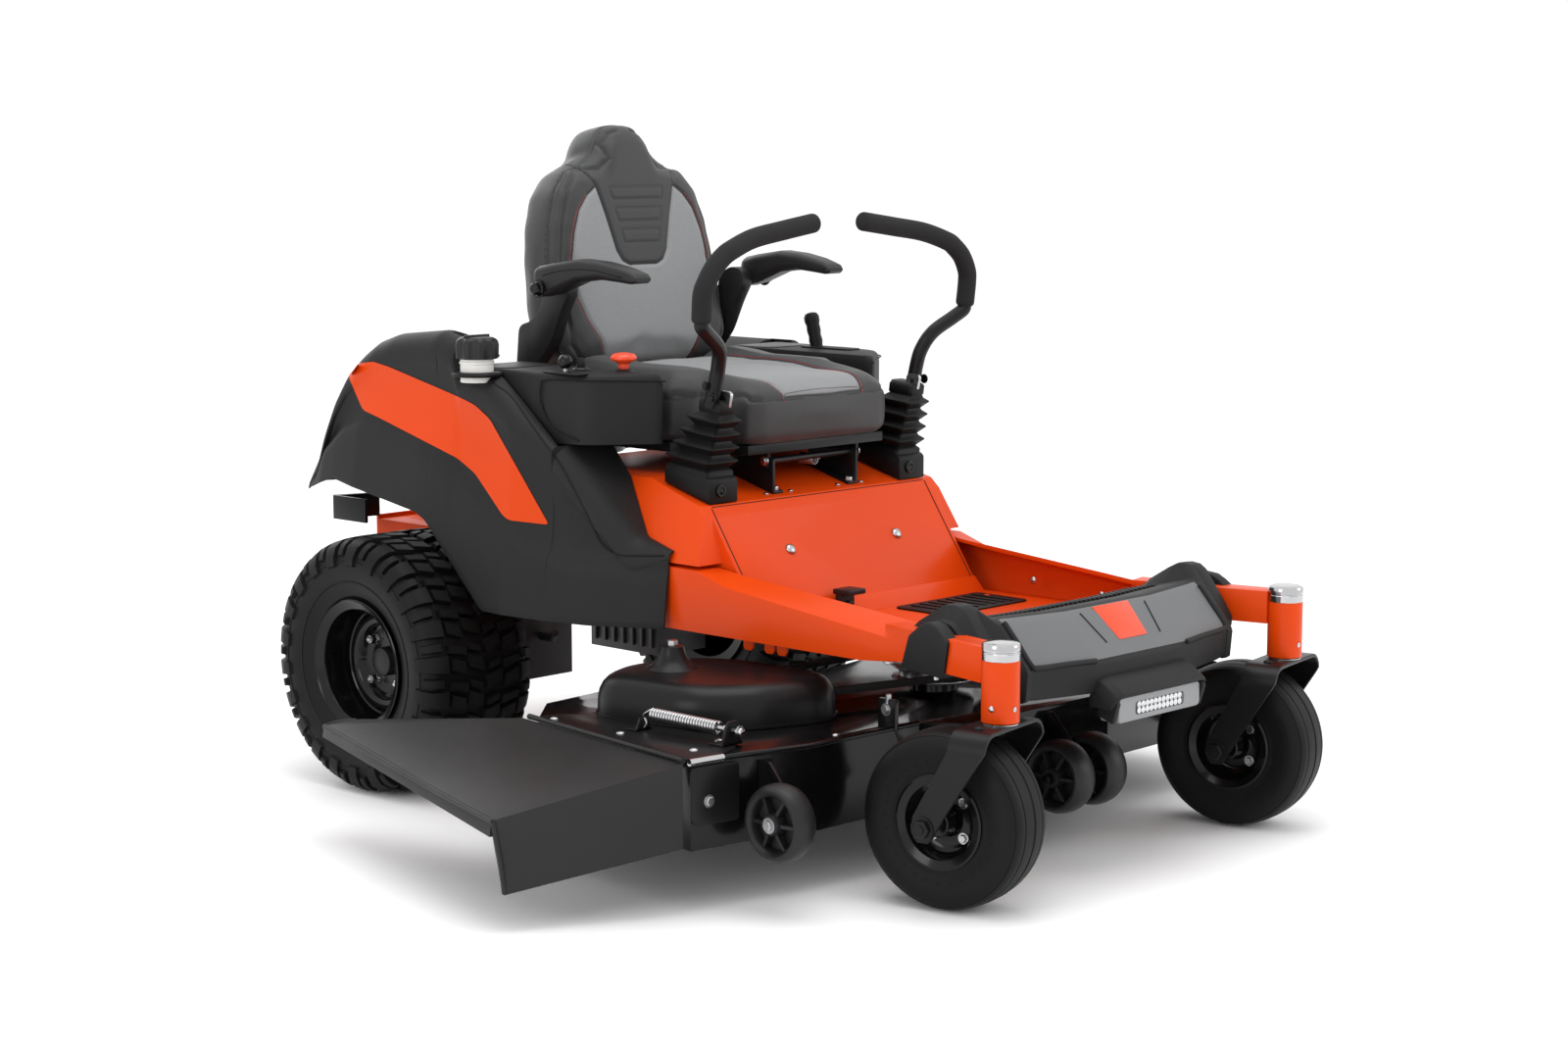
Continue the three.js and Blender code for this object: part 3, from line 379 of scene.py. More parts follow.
def piece(name, shape, materials, body, slot=None, replaces=(), bevel=0.0, turn=28, angle=38, smooth=0):
    """A new piece from a Shape."""
    bm = bmesh.new()
    made = [bm.verts.new(at(*v)) for v in shape.verts]
    for face, number in zip(shape.faces, shape.numbers):
        try:
            bm.faces.new([made[i] for i in face]).material_index = number
        except ValueError:
            pass
    bmesh.ops.remove_doubles(bm, verts=bm.verts, dist=2e-6)
    bmesh.ops.dissolve_degenerate(bm, edges=bm.edges, dist=1e-7)
    bmesh.ops.recalc_face_normals(bm, faces=bm.faces)
    if bevel:
        bevel_edges(bm, bevel, turn)
    for _ in range(smooth):
        bmesh.ops.subdivide_edges(bm, edges=bm.edges, cuts=1, use_grid_fill=True, smooth=1.0)
    return finished(name, bm, materials, body, slot, replaces, angle)


def refined(node_name, materials, body, slot, bevel=1.2, turn=28, angle=40, pick=None, segments=2, ceiling=None):
    """A CAD node with its edges rounded over. pick gives a face's material number from its centre."""
    bm = bmesh.new()
    bm.from_mesh(NODES[node_name].data)
    bmesh.ops.remove_doubles(bm, verts=bm.verts, dist=5e-6)
    bmesh.ops.dissolve_limit(bm, angle_limit=math.radians(0.6), verts=bm.verts, edges=bm.edges)
    if ceiling is not None:
        bmesh.ops.bisect_plane(bm, geom=list(bm.verts) + list(bm.edges) + list(bm.faces), plane_co=at(0, 0, ceiling),
                               plane_no=(0, 0, 1), clear_outer=True)
        bmesh.ops.holes_fill(bm, edges=[e for e in bm.edges if e.is_boundary])
    bevel_edges(bm, bevel, turn, segments)
    if pick:
        for face in bm.faces:
            face.material_index = pick(*((face.calc_center_median() - ORIGIN) * 1000))
    return finished("look_" + node_name, bm, materials, body, slot, [node_name], angle)


def bolt(shape, place, direction, size=8.0, number=0, washer=True, tall=0.62):
    """A hex head with a washer under it, standing on place."""
    direction = Vector(direction).normalized()
    place = Vector(place)
    if washer:
        shape.add(lathe([(0, 0), (size * 1.35, 0), (size * 1.35, 1.4), (0, 1.4)], place, direction, 24), number)
    head = [(0, 1.0), (size, 1.0), (size, size * tall), (size * 0.84, size * tall + 1.3), (0, size * tall + 1.3)]
    shape.add(lathe(head, place, direction, 6), number)


def dome(shape, place, direction, size=8.0, number=0):
    profile = [(0, 0), (size, 0), (size, 0.8), (size * 0.92, size * 0.28), (size * 0.7, size * 0.46),
               (size * 0.36, size * 0.56), (0, size * 0.6)]
    shape.add(lathe(profile, place, direction, 28), number)


# Distances from points to a path in a plane, and whether they are inside it, by numpy.
def distances(points, path, closed=True):
    path = np.asarray(path, float)
    ends = np.roll(path, -1, 0) if closed else path[1:]
    starts = path if closed else path[:-1]
    best = np.full(len(points), 1e9)
    for a, b in zip(starts, ends):
        span = b - a
        t = np.clip(((points - a) @ span) / max(span @ span, 1e-12), 0, 1)
        best = np.minimum(best, np.hypot(*(points - a - t[:, None] * span).T))
    return best


def enclosed(points, path):
    path = np.asarray(path, float)
    odd = np.zeros(len(points), bool)
    x, y = points.T
    for (x0, y0), (x1, y1) in zip(path, np.roll(path, -1, 0)):
        crosses = (y0 > y) != (y1 > y)
        odd ^= crosses & (x < (x1 - x0) * (y - y0) / ((y1 - y0) or 1e-9) + x0)
    return odd


def signed(points, path):
    return np.where(enclosed(points, path), 1, -1) * distances(points, path)


def store(mesh, name, values):
    mesh.attributes.new(name, "FLOAT", "POINT").data.foreach_set("value", np.asarray(values, np.float32))


def millimetres(mesh):
    places = np.empty(len(mesh.vertices) * 3)
    mesh.vertices.foreach_get("co", places)
    return (places.reshape(-1, 3) - np.array(ORIGIN)) * 1000


# ---------------------------------------------------------------- camera, light and floor
CAMERA_SPOT = (-3634.2, -3995.7, 1163.4)


def set_camera():
    heading, pitch = math.radians(46.337), math.radians(7.756)
    data = bpy.data.cameras.new("camera")
    data.lens = 66.25
    data.sensor_width = 36
    data.clip_end = 60
    camera = bpy.data.objects.new("camera", data)
    camera.location = at(*CAMERA_SPOT)
    ahead = Vector((math.sin(heading) * math.cos(pitch), math.cos(heading) * math.cos(pitch), -math.sin(pitch)))
    camera.rotation_euler = ahead.to_track_quat("-Z", "Y").to_euler()
    bpy.context.scene.collection.objects.link(camera)
    bpy.context.scene.camera = camera


def lamp(name, place, size, energy, target=(0, -500, 500)):
    data = bpy.data.lights.new(name, "AREA")
    data.shape = "RECTANGLE"
    data.size, data.size_y = size
    data.energy = energy
    lit = bpy.data.objects.new(name, data)
    lit.location = at(*place)
    lit.rotation_euler = (at(*target) - lit.location).to_track_quat("-Z", "Y").to_euler()
    bpy.context.scene.collection.objects.link(lit)


def set_stage():
    world = bpy.data.worlds.new("studio")
    world.use_nodes = True
    world.node_tree.nodes["Background"].inputs["Color"].default_value = (1.0, 1.0, 1.0, 1)
    world.node_tree.nodes["Background"].inputs["Strength"].default_value = 1.1
    bpy.context.scene.world = world
    bpy.context.scene.view_settings.view_transform = "Standard"
    lamp("overhead", (-300, -900, 4200), (3.0, 3.0), 70)
    lamp("front_left", (3600, -4600, 2300), (2.4, 2.8), 40)
    lamp("right_flank", (-4600, -1200, 1900), (1.6, 1.6), 30)
    lamp("rear_rim", (1200, 4200, 2700), (3.0, 2.0), 40)
    size = 14000
    bm = bmesh.new()
    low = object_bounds()[0][2]
    corners = [(-size, -size), (size, -size), (size, size), (-size, size)]
    made = []
    for x, y in corners:
        corner = at(x, y, 0)
        corner.z = low - 0.0005
        made.append(bm.verts.new(corner))
    bm.faces.new(made)
    mesh = bpy.data.meshes.new("floor")
    bm.to_mesh(mesh)
    bm.free()
    mesh.materials.append(plain("pale_floor", (0.95, 0.95, 0.95), 0.85, grain=60, bump=0.02, vary=0.01))
    floor = bpy.data.objects.new("floor", mesh)
    bpy.context.scene.collection.objects.link(floor)


# ---------------------------------------------------------------- tyres and rims
REAR_WHEEL_X = 430.5
REAR_TREAD = [(104.5, 90), (111, 97), (120, 101), (124, 104), (131, 106), (150, 113), (172, 116.5), (190, 115.5),
              (202, 111), (210, 103), (214.5, 90), (216.5, 66), (217, 34), (217, 0)]


def tread_samples():
    """The outside of the tyre from the middle of the tread to the bead: (distance, radius, across)."""
    points = [(r, a) for r, a in reversed(REAR_TREAD)]
    curve = spline([(a, 0, r) for r, a in points], 6)
    samples, run = [], 0.0
    for i, p in enumerate(curve):
        run += (p - curve[i - 1]).length if i else 0.0
        samples.append((run, p.z, p.x))
    return samples


SAMPLES = tread_samples()


def on_tread(s, angle, height, centre_x):
    """A point height above the carcass, s from the middle (signed) and at an angle round it."""
    distance = abs(s)
    k = next((i for i, row in enumerate(SAMPLES) if row[0] >= distance), len(SAMPLES) - 1)
    k = max(k, 1)
    (s0, r0, a0), (s1, r1, a1) = SAMPLES[k - 1], SAMPLES[k]
    t = (distance - s0) / max(s1 - s0, 1e-6)
    r, a = r0 + (r1 - r0) * t, a0 + (a1 - a0) * t
    length = math.hypot(r1 - r0, a1 - a0) or 1
    normal_r, normal_a = (a1 - a0) / length, -(r1 - r0) / length
    r, a = r + normal_r * height, a + normal_a * height
    side = 1 if s >= 0 else -1
    return (centre_x + side * a, r * math.sin(angle), TYRE_RADIUS + r * math.cos(angle))


def lug(shape, centre_x, corners, turn, height):
    """A raised block. corners are four (s, t) points, t in millimetres round the tyre."""
    rows, columns = 5, 3
    mid = [sum(c[i] for c in corners) / 4 for i in (0, 1)]

    def surface(grow, lift):
        grid = []
        for i in range(rows):
            for j in range(columns):
                u, v = i / (rows - 1), j / (columns - 1)
                s = ((corners[0][0] * (1 - u) + corners[1][0] * u) * (1 - v)
                      + (corners[3][0] * (1 - u) + corners[2][0] * u) * v)
                t = ((corners[0][1] * (1 - u) + corners[1][1] * u) * (1 - v)
                      + (corners[3][1] * (1 - u) + corners[2][1] * u) * v)
                s += (1 if s > mid[0] else -1) * grow if i in (0, rows - 1) else 0
                t += (1 if t > mid[1] else -1) * grow if j in (0, columns - 1) else 0
                fall = 1 - 0.6 * max(0.0, (abs(s) - 96) / 46)
                grid.append(on_tread(s, turn + t / 220, lift * max(fall, 0.3), centre_x))
        return grid
    top, foot = surface(-0.4, height), surface(1.6, -0.3)
    border = [i * columns for i in range(rows)] + [(rows - 1) * columns + j for j in range(1, columns)]
    border += [i * columns + columns - 1 for i in reversed(range(rows - 1))] + [j for j in reversed(range(1,
            columns - 1))]
    faces = [(i * columns + j, (i + 1) * columns + j, (i + 1) * columns + j + 1, i * columns + j + 1)
             for i in range(rows - 1) for j in range(columns - 1)]
    size = len(top)
    faces += [(a, b, size + b, size + a) for a, b in zip(border, border[1:] + border[:1])]
    shape.add((top + foot, faces))


def rear_tyre(side, sign):
    shape = Shape()
    profile = [(r, a) for _, r, a in reversed(SAMPLES)] + [(r, -a) for _, r, a in SAMPLES[1:]]
    shape.add(lathe(profile, (sign * REAR_WHEEL_X, 0, TYRE_RADIUS), segments=96))
    for radius, across in ((150, 113.6), (186, 116.8)):
        bead = [(radius - 2.2, across - 1.5), (radius - 1, across + 0.8), (radius + 1, across + 0.8), (radius + 2.2,
                across - 1.5)]
        for face in (1, -1):
            shape.add(lathe([(r, a * face) for r, a in bead], (sign * REAR_WHEEL_X, 0, TYRE_RADIUS), segments=96))
    pitches = 22
    for k in range(pitches):
        for face in (1, -1):
            turn = 2 * math.pi * (k + (0.5 if face > 0 else 0)) / pitches
            centre_x = sign * REAR_WHEEL_X
            flip = [(a * face, b) for a, b in ((80, -20), (139, -13), (139, 12), (80, 11))]
            lug(shape, centre_x, flip, turn, 10.2)
            flip = [(a * face, b) for a, b in ((90, 19), (122, 20), (122, 34), (90, 33))]
            lug(shape, centre_x, flip, turn, 10.0)
            flip = [(a * face, b) for a, b in ((44, -26), (74, -16), (74, 5), (44, -4))]
            lug(shape, centre_x, flip, turn, 10.2)
            flip = [(a * face, b) for a, b in ((40, 6), (76, 14), (76, 27), (40, 22))]
            lug(shape, centre_x, flip, turn, 10.2)
            flip = [(a * face, b) for a, b in ((5, -24), (36, -14), (36, 9), (5, -2))]
            lug(shape, centre_x, flip, turn, 10.2)
            flip = [(a * face, b) for a, b in ((8, 8), (32, 15), (32, 27), (8, 20))]
            lug(shape, centre_x, flip, turn, 10.2)
    piece(f"rear_tyre_look_{side}", shape, [TYRE], f"rear_wheel_{side}", "tyre", [f"rear_tyre_{side}"], angle=34)


def rear_rim(side, sign):
    shape = Shape()
    centre = (sign * REAR_WHEEL_X, 0, TYRE_RADIUS)
    axis = (sign, 0, 0)
    dish = [(20, 35), (40, 35), (52, 35.5), (58, 38), (62, 44), (66, 51), (70, 54), (76, 55), (82, 54.5), (86, 52),
            (90, 47.5), (93, 46), (95.5, 48), (96.4, 54), (96.6, 62), (97.4, 64.5), (97.6, 80), (98.4, 83), (98.6,
                    97), (100.5, 101),
            (106, 104.5), (112, 107), (116, 110), (118, 108.6), (117, 106), (112, 103.5), (102.5, 101), (102.5, -101),
            (112, -103.5), (118, -106), (118, -109), (112, -107.5), (97, -103), (96.5, 30), (90, 33), (80, 38), (68,
                    36), (60, 31),
            (20, 31)]
    shape.add(lathe(dish, centre, axis, 96))
    shape.add(lathe([(0, 30), (46, 30), (46, 20), (30, 14), (30, -60), (16, -62), (16, -124), (0, -124)], centre,
                    axis, 32))
    shape.add(lathe([(0, 34), (26, 34), (26, 50), (24.5, 53), (20, 55), (10, 56.5), (0, 57)], centre, axis, 40), 1)
    for k in range(4):
        angle = math.pi / 4 + k * math.pi / 2
        foot = Vector(centre) + Vector((sign * 35, 50.8 * math.cos(angle), 50.8 * math.sin(angle)))
        shape.add(lathe([(0, 0), (11, 0), (8.5, 4), (0, 4)], foot, axis, 20), 2)
        shape.add(lathe([(0, 3), (9, 3), (9, 12), (7.6, 14), (0, 14)], foot, axis, 6), 2)
        shape.add(lathe([(0, 13), (4.2, 13), (4.2, 17), (3, 18.4), (0, 18.4)], foot, axis, 14), 2)
    valve = Vector(centre) + Vector((sign * 60, 88 * math.cos(2.0), 88 * math.sin(2.0)))
    shape.add(lathe([(0, -10), (4.4, -10), (3.6, 6), (3.6, 20), (0, 20)], valve, axis, 14), 1)
    piece(f"rear_rim_look_{side}", shape, [GLOSS_BLACK, BLACK_PLASTIC, STEEL], f"rear_wheel_{side}", "black_steel",
          [f"rear_rim_{side}"], angle=32)


CASTER_X, CASTER_Y, TRAIL, CASTER_RADIUS = 372, -1326, 77.5, 139.5
SWIVEL = math.radians(10.7)


def caster_fork(side, sign, turn, hub, axis):
    """A wide strap, bent over the tyre, with its spindle and axle."""
    half = [(92, 118), (92, 124), (92, 134), (92, 156), (92, 200), (92, 240), (92, 256)]
    half += [(62 + 30 * math.cos(a), 257.6 + 30 * math.sin(a)) for a in (0.2, 0.5, 0.8, 1.1, 1.4)]
    path = half + [(40, 287.6), (0, 287.6), (-40, 287.6)] + [(-x, z) for x, z in reversed(half)]
    front = [(290, -26), (262, -25), (136, 56.5), (124, 62), (118, 68)]
    rear = [(290, 38), (262, 37), (156, 95.5), (136, 98.5), (124, 93), (118, 87)]
    foot = Vector((sign * CASTER_X, CASTER_Y, 0))
    loops = []
    for i, (x, z) in enumerate(path):
        before, after = path[max(i - 1, 0)], path[min(i + 1, len(path) - 1)]
        ahead = Vector((after[0] - before[0], after[1] - before[1])).normalized()
        out = Vector((-ahead.y, ahead.x)) * -3
        low, high = along(front, z), along(rear, z)
        ring_points = []
        for side_out, y in ((1, low + 1), (1, high - 1), (0.4, high), (-0.4, high), (-1, high - 1), (-1, low + 1),
                            (-0.4, low),
                            (0.4, low)):
            spot = turn @ Vector((x + out.x * side_out, y, 0)) + foot
            ring_points.append((spot.x, spot.y, z + out.y * side_out))
        loops.append(ring_points)
    shape = Shape().add(loft(loops))
    shape.add(lathe([(0, 286), (26, 286), (26, 292.5), (12.5, 292.5), (12.5, 376), (0, 376)], (foot.x, foot.y, 0), (0,
            0, 1), 48))
    shape.add(tube([hub - axis * 95, hub + axis * 95], 8, 20))
    piece(f"caster_fork_look_{side}", shape, [SATIN_BLACK], f"caster_{side}", "black_steel", [f"caster_fork_{side}"],
          angle=40)


def caster(side, sign):
    turn = Matrix.Rotation(SWIVEL, 3, "Z")
    axis = turn @ Vector((1, 0, 0))
    hub = turn @ Vector((0, TRAIL, 0)) + Vector((sign * CASTER_X, CASTER_Y, CASTER_RADIUS))
    wheel = f"caster_wheel_{side}"
    half = [(65.5, 41), (69, 45), (75, 46), (79, 45.5), (84, 46.5), (100, 51), (112, 52.2), (121, 51), (128.5, 46.5),
            (130.2, 44),
            (131, 44.4), (134.6, 38), (136.6, 29), (136.4, 27.6), (135.2, 26.8), (135.4, 25.4), (136.9, 24.6), (137.9,
                    15),
            (138.2, 3.2), (137, 2.6), (136.6, 1.2)]
    profile = half + [(r, -a) for r, a in reversed(half)]
    shape = Shape().add(lathe(profile, hub, axis, 112))
    for k in range(28):
        angle = 2 * math.pi * k / 28
        for face in (1, -1):
            out = Vector((0, 0, 1)) * math.cos(angle) + axis.cross(Vector((0, 0, 1))) * math.sin(angle)
            spot = hub + out * 92.5 + axis * face * 49
            shape.add(lathe([(0, -2), (1.6, -2), (1.2, 0.9), (0, 1.1)], spot, axis * face, 8))
    piece(f"caster_tyre_look_{side}", shape, [TYRE], wheel, "tyre", [f"caster_tyre_{side}"], angle=30)
    shape = Shape()
    dish = [(8.8, 56), (19, 56), (21, 54), (22, 40), (23, 24), (27, 19), (36, 17), (46, 19), (52, 24), (55.5, 32),
            (56.5, 42),
            (58.5, 46), (64, 48), (70, 50), (73.5, 49), (73.5, 46.8), (66, 44.5), (63.5, 43), (63.5, -43), (66,
                    -44.5), (73.5, -46.8),
            (73.5, -49), (70, -50), (64, -48), (58.5, -46), (56.5, -42), (55.5, -32), (52, -24), (46, -19), (36,
                    -17), (27, -19),
            (23, -24), (22, -40), (21, -54), (19, -56), (8.8, -56)]
    shape.add(lathe(dish, hub, axis, 80))
    for k in range(4):
        angle = math.pi / 4 + k * math.pi / 2
        out = Vector((0, 0, 1)) * math.cos(angle) + axis.cross(Vector((0, 0, 1))) * math.sin(angle)
        for face in (1, -1):
            bolt(shape, hub + out * 38 + axis * face * 17.5, axis * face, 6.5, 1)
    valve = hub + axis * -sign * 22 + Vector((0, 0, 48))
    shape.add(lathe([(0, 0), (4, 0), (3.4, 5), (3.4, 22), (0, 22)], valve, axis * -sign, 12), 2)
    piece(f"caster_rim_look_{side}", shape, [GLOSS_BLACK, STEEL, BLACK_PLASTIC], wheel, "black_steel",
          [f"caster_rim_{side}"], angle=34)
    caster_fork(side, sign, turn, hub, axis)
    shape = Shape()
    for face in (1, -1):
        spot = hub + axis * face * 95.2
        shape.add(lathe([(0, 0), (19, 0), (19, 1.6), (0, 1.6)], spot, axis * face, 36), 1)
        shape.add(lathe([(0, 1.5), (14.5, 1.5), (14.5, 7.6), (13, 8.8), (0, 8.8)], spot, axis * face, 6), 1)
        shape.add(lathe([(0, 8), (7, 8), (7, 10.5), (0, 11)], spot, axis * face, 20), 1)
    pin = Vector((sign * CASTER_X, CASTER_Y, 290.4))
    shape.add(lathe([(14, 0.8), (28, 0.8), (28, 2.2), (23, 3.6), (14, 3.6)], pin, (0, 0, 1), 48), 0)
    for face in (1, -1):
        foot = turn @ Vector((face * 52, 6, 0)) + pin
        dome(shape, foot + Vector((0, 0, 0.4)), (0, 0, 1), 8, 1)
    piece(f"caster_bolts_{side}", shape, [STEEL, SATIN_BLACK], f"caster_{side}", "black_steel", angle=30)


# ---------------------------------------------------------------- frame
def frame_side(side, sign):
    x, y = sign * CASTER_X, CASTER_Y

    def pick(px, py, pz):
        return 1 if pz > 386 and math.hypot(px - x, py - y) < 40 else 0
    refined(f"frame_side_{side}", [ORANGE, CHROME], "chassis", "orange_steel", 2.0, segments=3, pick=pick)
    shape = Shape()
    cap = [(0, 386.4), (28.4, 386.4), (29.2, 387.6), (29.2, 398), (28.2, 399), (28.2, 400.4), (29.4, 401.6), (29.4,
            408.6),
           (28.2, 411.4), (25.4, 412.8), (12, 413.4), (0, 413.4)]
    shape.add(lathe(cap, (x, y, 0), (0, 0, 1), 72))
    dome(shape, (x + sign * 28.5, y - 6, 317), (sign, 0, 0), 5)
    dome(shape, (x - 2, y - 28.6, 316), (0, -1, 0), 4)
    bolt(shape, (sign * 331, -1165, 404.2), (0, 0, 1), 7.5)
    shape.add(lathe([(0, -66), (4.6, -66), (4.6, -54), (8.5, -54), (8.5, -46), (0, -46)], (sign * 331, -1165, 396),
                    (0, 0, 1), 14))
    bolt(shape, (sign * 331, -1165, 349.6), (0, 0, -1), 7.5)
    piece(f"barrel_cap_{side}", shape, [CHROME], "chassis", "orange_steel", angle=30)
    shape = Shape()
    for y, z in ((-585, 505),):
        bolt(shape, (sign * 293, y, z), (sign, 0, 0.3), 7)
    for y in (-820, -1045):
        bolt(shape, (sign * 306, y, 340.6), (0, 0, -1), 7)
    dome(shape, (sign * 284.6, -860, 381), (-sign, 0, 0), 7)
    dome(shape, (sign * 284.6, -1010, 372), (-sign, 0, 0), 6)
    piece(f"frame_bolts_{side}", shape, [STEEL], "chassis", "steel", angle=30)
    shape = Shape()
    for y in (-742, -790, -818):
        shape.add(prism([(y - 11, 341.2), (y + 11, 341.2), (y + 11, 326), (y + 7, 320), (y - 7, 320), (y - 11, 326)],
                        "x",
                        sign * 308 - 2.5, sign * 308 + 2.5))
    piece(f"rail_tabs_{side}", shape, [ORANGE], "chassis", "orange_steel", bevel=0.8)


def rear_frame():
    def pick(x, y, z):
        return 1 if abs(x) > 276 else 0
    refined("rear_frame", [ORANGE, SATIN_BLACK], "chassis", "orange_steel", 1.5, pick=pick)
    shape = Shape()
    for x in (-232, -180, 180, 232):
        for z in (352, 428):
            bolt(shape, (x, 270.2, z), (0, 1, 0), 8)
    shape.add(lathe([(0, 0), (11, 0), (11, 8), (0, 8)], (0, 270.2, 400), (0, 1, 0), 24))
    piece("tail_bolts", shape, [STEEL], "chassis", "steel", angle=30)


def front_panel_point(x, z, lift=0.0):
    """A point on the sloping front panel of the seat box."""
    slope = Vector((0, -177, 121)).normalized()
    y = -736 + (z - 366) * 121 / 177
    return Vector((x, y, z)) + slope * lift


def seat_box():
    refined("seat_box", [ORANGE], "chassis", "orange_steel", 2.4, segments=3)
    out = Vector((0, -177, 121)).normalized()
    shape = Shape()
    for x in (-135, 135):
        dome(shape, front_panel_point(x, 461, 0.2), out, 10)
    for x in (-60, 60, -120, 120):
        dome(shape, Vector((x, -600, 548)), Vector((0, -0.26, 0.96)), 4.5)
    piece("panel_bolts", shape, [STEEL], "chassis", "steel", angle=30)
    # Near-black beads along the front panel's joints: painted shade in the gaps between the panels.
    shape = Shape()
    for sign in (-1, 1):
        low, high = front_panel_point(sign * 270, 376, 0.25), front_panel_point(sign * 270, 538, 0.25)
        shape.add(tube([low, high], 0.9, 8))
    shape.add(tube([front_panel_point(-268, 540, 0.25), front_panel_point(268, 540, 0.25)], 0.7, 8))
    piece("panel_seam_shade", shape, [RUBBER_AND_GAP_SHADE], "chassis", "orange_steel", angle=60)


def floor_pan():
    refined("floor_pan", [ORANGE], "chassis", "orange_steel", 1.5)
    shape = Shape()
    outline = ring(222, 118, 12, 5, (132, -826))
    shape.add(prism(outline, "z", 352.2, 355.2))
    for k in range(8):
        x = 52 + k * 23
        shape.add(prism(ring(9, 92, 4, 3, (x, -826)), "z", 355, 357.2))
    piece("floor_pad", shape, [RUBBER_AND_GAP_SHADE], "chassis", "rubber", bevel=0.7)
    lip = Shape().add(prism([(-752, 352), (-724, 352), (-724, 376), (-730.4, 376)], "x", -281, 281))
    piece("pan_lip", lip, [ORANGE], "chassis", "orange_steel", bevel=0.8)
    shape = Shape()
    shape.add(block((-96, -752, 352.4), (-62, -738, 392)))
    shape.add(block((-100, -774, 388), (-58, -736, 397)))
    shape.add(tube([(-79, -752, 372), (-79, -760, 372)], 5, 16))
    piece("floor_latch", shape, [BLACK_PLASTIC], "chassis", "black_plastic", bevel=1.6)
    shape = Shape()
    for x in (-230, 230):
        for y in (-800, -1040):
            dome(shape, (x, y, 352.1), (0, 0, 1), 7)
    piece("floor_rivets", shape, [ORANGE], "chassis", "orange_steel", angle=30)


# ---------------------------------------------------------------- foot plate and light
PLATE_MIDDLE = [(-1100, 392), (-1116, 396), (-1160, 405), (-1216, 418), (-1230, 420), (-1240, 418), (-1252, 409),
                (-1290, 371),
                (-1308, 350), (-1312, 342), (-1312, 300), (-1304, 296), (-1298, 298), (-1294, 338), (-1240,
                        398), (-1104, 381)]
PLATE_SHOULDER = [(-1100, 396), (-1116, 400), (-1150, 408), (-1200, 421), (-1212, 423), (-1224, 421), (-1238, 412),
                  (-1274, 372),
                  (-1288, 356), (-1292, 347), (-1288, 305), (-1280, 300), (-1274, 302), (-1271, 340), (-1222,
                          401), (-1104, 385)]


